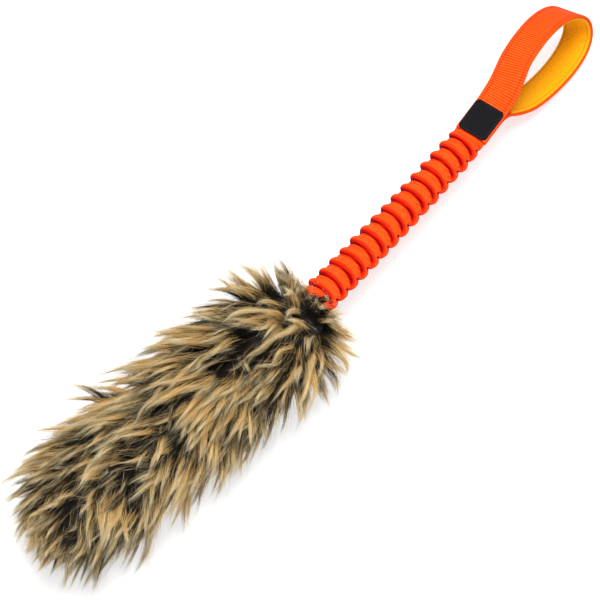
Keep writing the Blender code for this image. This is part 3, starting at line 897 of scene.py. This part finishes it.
def sleeve_run(first_roll, last_roll, name):
    """The sleeve between two rolls, as its own tube."""
    begin = first_roll / SLEEVE_ROLLS if first_roll else -SLEEVE_SEAM / sleeve_span
    stop = last_roll / SLEEVE_ROLLS
    rings = max(8, round((stop - begin) * SLEEVE_ROLLS * RINGS_PER_ROLL))
    shares = [begin + (stop - begin) * i / rings for i in range(rings + 1)]
    stations = [sleeve_station(s) for s in shares]
    bm = sweep(round_section(RING_SIDES, OPEN_RADIUS), stations, uv_start=begin * sleeve_span)
    bmesh.ops.delete(bm, geom=[f for f in bm.faces if len(f.verts) > 4], context="FACES_ONLY")
    fold = bm.verts.layers.float.new("fold")
    for i, vert in enumerate(bm.verts):
        ring, side = divmod(i, RING_SIDES)
        degrees = 360 * side / RING_SIDES
        placed, fold_shade = shape_ring_point(shares[ring], degrees if degrees <= 320 else degrees - 360)
        vert.co = stations[ring] @ placed
        # the painted shade of the folds is kept in the fold attribute, which darkens the sleeve's colour
        vert[fold] = min(fold_shade, 1.0)
    return piece_of(bm, name, orange_sleeve, sharp=75)


run_names = ("sleeve_mouth", "sleeve_neck", "sleeve_rolls")
sleeve_pieces = [sleeve_run(*run) for run in zip(BEND_ROLLS, BEND_ROLLS[1:], run_names)]

# %% [markdown]
# The three runs of the sleeve
#
# The toy bends at the mouth and stretches over its length. The sleeve is cut into three runs: a short
# first run at the mouth, the next roll and a half, and the rest, which holds the elastic inside. Both
# cuts lie close to the mouth, where the toy bends, or else the sleeve would leave the fur, turn round
# and come back over it like a hook. A modifier gives the cloth its thickness.

# %% Thicken the three runs
SLEEVE_LINKS = (("tug", "tongue"), ("tongue", "bungee"), ("bungee", "grip"))


def roll_at(number):
    return sleeve_station(number / SLEEVE_ROLLS).translation


for run, (fixed, moving), begin, stop in zip(sleeve_pieces, SLEEVE_LINKS, BEND_ROLLS, BEND_ROLLS[1:]):
    wall = run.modifiers.new("cloth wall", "SOLIDIFY")
    wall.thickness = 0.8 * MM
    wall.offset = -1
    roll_at(begin)
    roll_at(stop)
    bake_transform(run)
    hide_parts("gathered_sleeve")

# %% [markdown]
# Fur body: the backing
#
# The fur is a knitted tube with a long pile. The knit itself is a dark skin that only shows between
# the locks. Its outline is turned about the body's middle line with a spin, then the body is turned a
# little at the mouth, as it lay when the photograph was taken.

# %% Backing skin
FUR_YAW = math.radians(-7.5)
YAW_GROWS_OVER = 44 * MM
FUR_LENGTH = 247 * MM
SKIN_END = FUR_LENGTH - 17 * MM
skin_knots = [
    (Vector((0, 11.6 * MM)), math.radians(34), 0, 12 * MM),
    (Vector((42 * MM, 28 * MM)), math.radians(3), 15 * MM, 20 * MM),
    (Vector((118 * MM, 29 * MM)), 0.0, 25 * MM, 35 * MM),
    (Vector((205 * MM, 26.5 * MM)), math.radians(-12), 25 * MM, 12 * MM),
    (Vector((SKIN_END, 0)), -math.pi / 2, 14 * MM, 0),
]
skin_outline = evenly(curve_through(skin_knots, CURVE_STEPS), 4 * MM)


def turn_body(points):
    """Turn points of the straight body about the mouth, more and more up to the shoulder."""
    local = np.array(points) - np.array(mouth)
    t = np.clip(-local[:, 0] / YAW_GROWS_OVER, 0, 1)
    by = FUR_YAW * t * t * (3 - 2 * t)
    c, s = np.cos(by), np.sin(by)
    x, y = local[:, 0] * c - local[:, 1] * s, local[:, 0] * s + local[:, 1] * c
    return np.stack([x, y, local[:, 2]], 1) + np.array(mouth)


def backing_skin():
    bm = bmesh.new()
    line = [bm.verts.new(mouth + Vector((-p.x, max(p.y, 0.4 * MM), 0))) for p in skin_outline]
    edges = [bm.edges.new(pair) for pair in zip(line, line[1:])]
    bmesh.ops.spin(bm, geom=line + edges, cent=mouth, axis=(1, 0, 0), angle=2 * math.pi,
                   steps=48, use_merge=True)
    bmesh.ops.holes_fill(bm, edges=bm.edges, sides=0)
    bmesh.ops.recalc_face_normals(bm, faces=bm.faces)
    for vert, spot in zip(bm.verts, turn_body([v.co for v in bm.verts])):
        vert.co = spot
    return bm


knit = fibrous("dark knit backing", (0.004, 0.003, 0.003), (0.03, 0.024, 0.02), 900, 5,
               roughness=0.95, depth=0.4 * MM)
backing = piece_of(backing_skin(), "fur_backing", knit)
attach(backing, "tug")
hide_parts("fur_cover")

# %% [markdown]
# Fur body: the colour of a hair
#
# Each hair is charcoal at its root, golden tan over its length and pale at its tip. How far the
# charcoal reaches differs from lock to lock, which gives the dark patches. A hair's UV map holds
# both: U is how far up the charcoal reaches, and V runs from root to tip. One picture of those two
# numbers is the whole pelt's colour.

# %% Hair material
CHARCOAL = (0.009, 0.008, 0.008)
TAN_DEEP = (0.90, 0.50, 0.12)
TAN_LIGHT = (1.0, 0.75, 0.34)
PALE_TIP = (1.0, 0.90, 0.60)


def hair():
    finish = Finish("tan and charcoal hair")
    uv = finish.add("UVMap", uv_map="OFBake")["UV"]
    parts = finish.add("SeparateXYZ", {0: uv})
    dark_to, along = parts["X"], parts["Y"]
    own, lock = (finish.cloud(finish.stretched(uv, scale), 1) for scale in ((700, 1.5, 1), (90, 0.6, 1)))

    warm = finish.mix(finish.between(lock, 0.35, 0.65), TAN_DEEP, TAN_LIGHT)
    pale = finish.mix(finish.between(along, 0.55, 1.0), warm, PALE_TIP)
    start, stop = finish.math("SUBTRACT", dark_to, 0.14), finish.math("ADD", dark_to, 0.12)
    brown = finish.mix(finish.between(along, start, stop), CHARCOAL, pale)
    bright = finish.math("MULTIPLY", finish.between(own, 0.3, 0.7), 0.46)
    bright = finish.math("ADD", bright, 0.58)
    return finish.shade({
        "Base Color": finish.mix(1.0, brown, bright, how="MULTIPLY"),
        "Roughness": 0.5,
        "Specular IOR Level": 0.14,
        "Sheen Weight": 0.05,
        "Sheen Roughness": 0.4,
        "Sheen Tint": (1.0, 0.85, 0.55),
    })


fur_hair = hair()
print("hair runs from charcoal", CHARCOAL, "to", PALE_TIP)

# %% [markdown]
# Fur body: locks
#
# Long pile gathers in wavy pointed locks. Hair particles don't leave the script as meshes, so each
# hair is a thin closed cone of three sides. The cone is modelled once. A lock is a guide curve: it
# rises from the skin, leans towards the far end, and waves from side to side. Its hairs start spread
# round the guide's root and close in on it towards the tip.

# %% One hair, modelled once
HAIR_STEPS = 5


def hair_template():
    """A three-sided cone along Z from 0 to 1: (height, angle) of each corner, and its faces."""
    bm = bmesh.new()
    bmesh.ops.create_cone(bm, cap_ends=True, segments=3, radius1=1.0, radius2=0.0, depth=1.0)
    bmesh.ops.translate(bm, vec=(0, 0, 0.5), verts=bm.verts)
    for step in range(1, HAIR_STEPS):
        bmesh.ops.bisect_plane(bm, geom=bm.verts[:] + bm.edges[:] + bm.faces[:],
                               plane_co=(0, 0, step / HAIR_STEPS), plane_no=(0, 0, 1))
    bmesh.ops.triangulate(bm, faces=bm.faces)
    bmesh.ops.recalc_face_normals(bm, faces=bm.faces)
    corners = np.array([(v.co.z, math.atan2(v.co.y, v.co.x)) for v in bm.verts])
    faces = np.array([[v.index for v in f.verts] for f in bm.faces])
    bm.free()
    return corners, faces


hair_corners, hair_faces = hair_template()
print("one hair:", len(hair_corners), "corners,", len(hair_faces), "triangles")

# %% Roots of the locks
LOCKS = 820
HAIRS_PER_LOCK = 72
THIN_END_EXTRA = 8 * MM
dice = np.random.default_rng(7)
centre = np.array(mouth)


def skin_table():
    """Points of the skin's outline, the share of the locks up to each, and the outline's slope."""
    points = np.array([(p.x, p.y) for p in skin_outline])
    steps = np.linalg.norm(np.diff(points, axis=0), axis=1)
    length = np.concatenate(([0.0], np.cumsum(steps)))
    girths = points[1:, 1] + points[:-1, 1] + THIN_END_EXTRA
    area = np.concatenate(([0.0], np.cumsum(steps * girths)))
    return points, area / area[-1], np.gradient(points, length, axis=0)


skin_points, skin_share, skin_slope = skin_table()


def on_skin(share, angle):
    """Root, outward normal, rearward tangent and distance from the mouth, on the straight body."""
    distance, radius, dx, dr = (np.interp(share, skin_share, column)
                                for column in (*skin_points.T, *skin_slope.T))
    size = np.hypot(dx, dr)
    dx, dr = dx / size, dr / size
    round_y, round_z = np.cos(angle), np.sin(angle)
    root = np.stack([-distance, radius * round_y, radius * round_z], 1) + centre
    normal = np.stack([dr, dx * round_y, dx * round_z], 1)
    rearward = np.stack([-dx, dr * round_y, dr * round_z], 1)
    return root, normal, rearward, distance


def unit(vectors):
    return vectors / (np.linalg.norm(vectors, axis=-1, keepdims=True) + 1e-12)


# spread the roots evenly, with a golden-angle step round the body
number = np.arange(LOCKS) + 0.5
lock_share = np.clip(number / LOCKS + dice.normal(0, 0.006, LOCKS), 0.002, 0.998)
lock_angle = number * math.pi * (3 - math.sqrt(5)) + dice.normal(0, 0.12, LOCKS)
lock_root, lock_normal, lock_rear, lock_distance = on_skin(lock_share, lock_angle)
lock_side = unit(np.cross(lock_rear, lock_normal))
print("locks:", LOCKS, "hairs:", LOCKS * HAIRS_PER_LOCK)

# %% [markdown]
# The lie of the locks
#
# At the mouth the hair stands out and hides the seam. From the shoulder on it leans back, and at the
# far end it curls down. Neighbouring locks lean alike, so a smooth noise field turns them together,
# and each lock adds a little of its own. In a few places the pile parts: the locks turn away from one
# spot and their charcoal roots show.

# %% Where the pile parts
# distance from the mouth in millimetres, degrees round the body, size in millimetres, strength
PARTINGS = (
    (57, 112, 13, 0.8), (48, 56, 11, 0.65), (126, 102, 15, 0.8), (206, 112, 13, 0.8), (209, 44, 13, 0.8),
    (168, 134, 12, 0.6), (92, 64, 10, 0.5), (102, 146, 9, 0.5), (7, 100, 6, 0.5), (166, 60, 10, 0.5),
    (60, 205, 14, 0.8), (130, 196, 12, 0.6), (190, 190, 13, 0.7), (75, 0, 12, 0.7), (150, 8, 13, 0.8),
)
far, turned, size, strength = np.array(PARTINGS).T
far, turned, size = far * MM, np.radians(turned), size * MM
girth = np.interp(far, *skin_points.T)
parting_at = np.stack([-far, girth * np.cos(turned), girth * np.sin(turned)], 1) + centre
away = lock_root[:, None, :] - parting_at
gap = np.linalg.norm(away, axis=2)
parting_near = np.exp(-(gap / size) ** 2) * strength
lock_away = (away / (gap[:, :, None] + 1e-6) * parting_near[:, :, None]).sum(1)
lock_parted = np.clip(parting_near.sum(1), 0, 1)
print("partings:", len(PARTINGS), "touch", int((lock_parted > 0.3).sum()), "locks")

# %% Direction, length and wave of each lock
LOCK_LENGTH = 44 * MM
SHORTEST, LONGEST = 25 * MM, 60 * MM
UP_ANGLE = math.radians(105)


def field(scale, salt):
    """Smooth noise from about -1 to 1 at each lock's root."""
    offset = Vector((salt, 2.3 * salt, 0))
    return np.array([noise.noise(Vector(p) / scale + offset) for p in lock_root]) * 1.6


def ramp(values, start, over):
    """0 up to start, 1 past start and over together."""
    return np.clip((values - start) / over, 0, 1)


near_mouth = 1 - ramp(lock_distance, 0, 42 * MM)
at_rim = 1 - ramp(lock_distance, 5 * MM, 7 * MM)
near_end = ramp(lock_distance, 178 * MM, 50 * MM)
on_cap = ramp(lock_distance, 206 * MM, 20 * MM)
facing_up = ramp(np.cos(lock_angle - UP_ANGLE), 0, 1) ** 2
far_side = np.maximum(-np.cos(lock_angle), 0)

# degrees out of the skin at the root and at the tip, and sideways
stand_root = 54 + 24 * near_mouth - 14 * at_rim + dice.normal(0, 12, LOCKS) - 6 * lock_parted
stand_tip = 25 + 77 * near_mouth * (1 - 0.7 * facing_up) + dice.normal(0, 15, LOCKS)
swirl = 26 * field(0.035, 1.0) + 14 * field(0.014, 6.0) + dice.normal(0, 13, LOCKS)
stand_root, stand_tip, swirl = np.radians([stand_root, stand_tip, swirl])

lock_length = LOCK_LENGTH * np.exp(0.16 * field(0.022, 4.0) + dice.normal(0, 0.14, LOCKS))
lock_length = np.clip(lock_length, SHORTEST, LONGEST)
lock_length *= 1 - (0.34 + 0.08 * facing_up) * near_mouth ** 1.5
lock_length *= 1 - (0.1 + 0.3 * facing_up) * at_rim
lock_length *= 1 - near_end * (0.42 - 0.24 * far_side)
lock_length *= 1 - on_cap * dice.uniform(0.05, 0.45, LOCKS)

lock_spread = dice.uniform(1.5, 3.9, LOCKS) * MM
lock_closing = dice.uniform(0.7, 0.97, LOCKS) * (1 - 0.35 * near_mouth)
wave_size = dice.uniform(0.8, 4.2, LOCKS) * MM
wave_turns = dice.uniform(0.45, 1.15, LOCKS)
wave_phase = dice.uniform(0, 2 * math.pi, LOCKS)

# how far up the charcoal reaches, as a share of the hair
dark_reach = 0.44 + 0.28 * field(0.024, 9.0) + 0.42 * lock_parted + 0.12 * at_rim
dark_reach += dice.normal(0, 0.12, LOCKS) - 0.16 * near_mouth * facing_up
dark_reach = np.clip(dark_reach, 0.08, 0.93)
dark_reach = np.where(dice.random(LOCKS) < 0.07, 0.88, dark_reach)
print("locks are", round(lock_length.min() / MM), "to", round(lock_length.max() / MM), "mm long")

# %% [markdown]
# Guides
#
# A lock's guide is walked in short steps. Each step leans between the root's and the tip's angle,
# bends towards the far end, turns away from a parting and sags a little.

# %% Guides of the locks
GUIDE_REACH = 1.15
GUIDE_POINTS = 24
BACKWARD = np.array([-1.0, 0, 0])


def guide_points():
    """Points of every guide, evenly up to a little past its tip, before the body is turned."""
    heights = np.linspace(0, GUIDE_REACH, GUIDE_POINTS)
    points = np.zeros((LOCKS, GUIDE_POINTS, 3))
    here, last = lock_root, 0.0
    for k, t in enumerate(heights):
        if t > last:
            mid = (t + last) / 2
            stand = stand_root + (stand_tip - stand_root) * mid ** 0.8
            bend = min(1.0, mid * 1.6)
            flow = lock_rear * (1 - bend) + BACKWARD * bend
            flow += lock_away * 1.1 * (1 - 0.6 * mid) + lock_side * np.tan(swirl)[:, None]
            flow[:, 1] -= 0.5 * bend * near_end
            step = unit(flow) * np.cos(stand)[:, None] + lock_normal * np.sin(stand)[:, None]
            step[:, 2] -= 0.2 * mid
            here = here + unit(step) * (lock_length * (t - last))[:, None]
        wave = np.sin(wave_phase + 2 * math.pi * wave_turns * t) * wave_size * t ** 0.7
        points[:, k] = here + lock_side * wave[:, None]
        last = t
    return points


guides = guide_points()
print("guides:", guides.shape[0], "of", guides.shape[1], "points")

# %% [markdown]
# Hairs from the guides
#
# Each hair takes its lock's guide, starts beside it and joins it as it rises. A few hairs keep their
# distance or run past the tip, as flyaways. The pile lies closer to the body than the guides alone
# would have it, so the height over the core is brought down, by a different share for each lock, which
# keeps the spikes. The floor presses the hairs below the body flat, and the longest wisps are eased
# back so that the dressed toy keeps its size.

# %% Hair middle lines
HAIR_HEIGHTS = np.linspace(0, 1, HAIR_STEPS + 1)
STRAY_SHARE = 0.17


def hair_lines(which):
    """Middle lines, half widths and colour numbers of the hairs, given the lock of each."""
    count = len(which)
    reach = np.clip(dice.normal(0.85, 0.13, count), 0.4, 1.12)
    stray = dice.random(count) < STRAY_SHARE
    reach = np.where(stray, dice.uniform(0.7, 1.15, count), reach)
    at = HAIR_HEIGHTS * reach[:, None] / GUIDE_REACH * (GUIDE_POINTS - 1)
    low = np.clip(at.astype(int), 0, GUIDE_POINTS - 2)
    share = (at - low)[:, :, None]
    lines = guides[which[:, None], low] * (1 - share) + guides[which[:, None], low + 1] * share

    def push(direction, amounts):
        lines[:] += direction[:, None, :] * amounts[:, :, None]

    side, rear = lock_side[which], lock_rear[which]
    spread = np.abs(dice.normal(0, 1, count)) * lock_spread[which] + 0.8 * MM
    around = dice.uniform(0, 2 * math.pi, count)
    offset = side * (np.cos(around) * spread)[:, None] + rear * (np.sin(around) * spread)[:, None]
    push(offset, 1 - (lock_closing[which] - 0.6 * stray)[:, None] * HAIR_HEIGHTS ** 0.75)

    own_wave = np.sin(dice.uniform(0, 6.3, count)[:, None]
                      + HAIR_HEIGHTS * dice.uniform(3, 7, count)[:, None])
    push(side, (0.6 + 1.8 * stray)[:, None] * MM * own_wave * HAIR_HEIGHTS)
    lean = np.where(stray, dice.normal(0, 6.5, count), 0) * MM
    push(side, lean[:, None] * HAIR_HEIGHTS ** 1.5)
    lift = np.where(stray, dice.normal(2.8, 3.2, count), dice.normal(0, 0.8, count)) * MM
    push(lock_normal[which], lift[:, None] * HAIR_HEIGHTS)

    half = np.where(stray, 0.1, dice.uniform(0.11, 0.23, count)) * MM
    dark = np.clip(dark_reach[which] + dice.normal(0, 0.15, count), 0.02, 0.98)
    return lines, half, dark


def eased(values, free, most):
    """Leaves values below free alone and bends larger ones so that none passes most."""
    over = np.maximum(values - free, 0)
    return np.minimum(values, free) + (most - free) * np.tanh(over / (most - free))


which_lock = np.repeat(np.arange(LOCKS), HAIRS_PER_LOCK)
hair_line, hair_half, hair_dark = hair_lines(which_lock)
print("hair lines:", len(hair_line), "of", HAIR_STEPS, "steps, strays", STRAY_SHARE)

# %% Comb the pile and keep it inside its room
# the pelt's core: distance from the mouth and half width, in millimetres
PELT_CORE = ((0, 11.5), (42, 28), (118, 29), (205, 26.5), (232, 18), (262, 9))
FLOOR_CLEAR = 0.5 * MM
low_corner, high_corner = np.array(cad_box)


def combed(lines, which):
    """The lines with the pile's height over the core brought down, a little less at the mouth."""
    local = lines - centre
    radius = np.hypot(local[:, :, 1], local[:, :, 2])
    core = np.interp(-local[:, :, 0], *(np.array(PELT_CORE) * MM).T)
    kept = dice.uniform(0.5, 0.86, LOCKS)
    kept = (kept + (1 - kept) * near_mouth)[which][:, None]
    over = np.maximum(radius - core, 0) * kept
    local[:, :, 1:] *= ((np.minimum(radius, core) + over) / np.maximum(radius, 1e-9))[:, :, None]
    return local + centre


hair_line = combed(hair_line, which_lock)
flat_line = turn_body(hair_line.reshape(-1, 3)).reshape(hair_line.shape)
x, y, z = np.moveaxis(flat_line, 2, 0)
x[:] = -eased(-x, -low_corner[0] - 10 * MM, -low_corner[0] + 12 * MM)
y[:] = np.sign(y) * eased(np.abs(y), high_corner[1] + 3 * MM, high_corner[1] + 12.4 * MM)
z[:] = eased(z, high_corner[2] + 3 * MM, high_corner[2] + 12 * MM)
floor_room = FLOOR_CLEAR + dice.uniform(0.2, 2.6, len(flat_line))[:, None] * MM
z[:] = np.maximum(z, floor_room)
print("tips reach", np.round(flat_line.min((0, 1)) / MM), np.round(flat_line.max((0, 1)) / MM))

# %% [markdown]
# Meshes of hair
#
# The cone's corners are laid along every middle line at once with arrays, because a loop over tens of
# thousands of hairs would be slow. The pelt is cut into pieces along the body, each small enough to be
# exported whole.

# %% Lay the cones along the lines
HAIR_UV_WIDTH = 0.0012
HAIRS_PER_PIECE = 5600
corner_height, corner_angle = hair_corners.T
corner_level = np.rint(corner_height * HAIR_STEPS).astype(int)
corner_width = 0.55 + 0.9 * np.minimum(corner_height * 3, 0.5)
corner_width = np.where(corner_height > 0.999, 0.0, (1 - corner_height) ** 0.62 * corner_width)


def cone_corners(lines, half):
    """Places of the cone's corners along each middle line."""
    tangent = unit(np.gradient(lines, axis=1))
    helper = np.where(np.abs(tangent[:, :, 2:]) > 0.9, [[[1.0, 0, 0]]], [[[0, 0, 1.0]]])
    first = unit(np.cross(tangent, helper))
    second = np.cross(tangent, first)
    radius = half[:, None] * corner_width
    return (lines[:, corner_level]
            + first[:, corner_level] * (np.cos(corner_angle) * radius)[:, :, None]
            - second[:, corner_level] * (np.sin(corner_angle) * radius)[:, :, None])


def hair_mesh(name, chosen):
    """One mesh of the chosen hairs, each a copy of the template along its own middle line."""
    corners = cone_corners(flat_line[chosen], hair_half[chosen])
    each = len(hair_corners)
    faces = hair_faces + (np.arange(len(chosen)) * each)[:, None, None]
    total = len(chosen) * len(hair_faces)

    mesh = bpy.data.meshes.new(name)
    mesh.vertices.add(len(chosen) * each)
    mesh.vertices.foreach_set("co", corners.astype(np.float32).ravel())
    mesh.loops.add(total * 3)
    mesh.loops.foreach_set("vertex_index", faces.astype(np.int32).ravel())
    mesh.polygons.add(total)
    mesh.polygons.foreach_set("loop_start", np.arange(0, total * 3, 3, dtype=np.int32))
    side_step = (np.rint((corner_angle + math.pi) / (2 * math.pi / 3)) % 3 - 1) * HAIR_UV_WIDTH
    u = hair_dark[chosen][:, None] + side_step
    v = np.broadcast_to(0.01 + 0.98 * corner_height, u.shape)
    per_corner = np.stack([u, v], 2).reshape(-1, 2)[faces.ravel()]
    uv = mesh.uv_layers.new(name="OFBake")
    uv.data.foreach_set("uv", per_corner.astype(np.float32).ravel())
    mesh.update(calc_edges=True)
    mesh.validate()
    mesh.shade_smooth()
    mesh.materials.append(fur_hair)
    print(name, len(chosen), "hairs,", total, "triangles")
    return added(name, mesh)


order = np.argsort(lock_distance[which_lock], kind="stable")
for part, start in enumerate(range(0, len(order), HAIRS_PER_PIECE)):
    pelt = hair_mesh(f"fur_pile_{part + 1}", order[start:start + HAIRS_PER_PIECE])
    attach(pelt, "tug")
    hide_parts("fur_cover")

# %% [markdown]
# What lies inside
#
# The stuffing, the core strap and the shock cord are hidden at rest. They keep their solids, with
# materials of their own. Only the cord is made again, as a braided piece that starts past the bend, so
# that it never shows when the bungee swings.

# %% Hidden pieces
def dress(node, material):
    mesh = frame["nodes"][node].data
    mesh.materials.clear()
    mesh.materials.append(material)


def soft_inside(name, low, high, scale, stretch=(1, 1, 1)):
    return fibrous(name, low, high, scale, 6, depth=0.3 * MM, stretch=stretch)


plain_tape = soft_inside("grey tape", (0.05, 0.05, 0.05), (0.14, 0.14, 0.14), 900, (1, 3, 1))
dress("stuffing", soft_inside("white fibre fill", (0.55, 0.55, 0.52), (0.85, 0.85, 0.82), 300))
dress("core_strap", plain_tape)
dress("strap_tongue", plain_tape)
print("dressed the stuffing, the core strap and its tongue")

# %% Braided cord
CORD_RADIUS = 4.4 * MM
CORD_SIDES = 24
CORD_RINGS = 90
CORD_STARTS = (BEND_ROLLS[2] + 0.4) / SLEEVE_ROLLS
CORD_RUN = 0.7175
BRAID_TURNS = 900


def braided_cord():
    """A round cord with a shallow braid."""
    shares = [CORD_STARTS + CORD_RUN * i / CORD_RINGS for i in range(CORD_RINGS + 1)]
    bm = sweep(round_section(CORD_SIDES, CORD_RADIUS), [sleeve_station(s) for s in shares])
    for vert in bm.verts:
        middle_at = sleeve_station((vert.co.x - mouth.x) / sleeve_span).translation
        out = vert.co - middle_at
        round_by, along_by = 4 * math.atan2(out.z, out.y), vert.co.x * BRAID_TURNS
        braid = abs(math.sin(round_by + along_by)) * abs(math.sin(round_by - along_by))
        vert.co = middle_at + out * (1 - 0.05 * braid)
    return bm


white_braid = soft_inside("white braid", (0.6, 0.6, 0.56), (0.85, 0.85, 0.8), 1500, (1, 4, 4))
cord_core = piece_of(braided_cord(), "braided_cord", white_braid)
roll_at(BEND_ROLLS[2])
roll_at(SLEEVE_ROLLS)
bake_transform(cord_core)
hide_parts("elastic_cord")

# %% [markdown]
# Sizes
#
# The dressed toy must stay about as large as its solids. Both boxes are written down for comparison.

# %% Print both boxes
dressed_box = [[float(v) for v in corner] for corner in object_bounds()]
for box_name, box in (("solids", cad_box), ("dressed", dressed_box)):
    print(box_name, [[round(v / MM, 1) for v in corner] for corner in box])
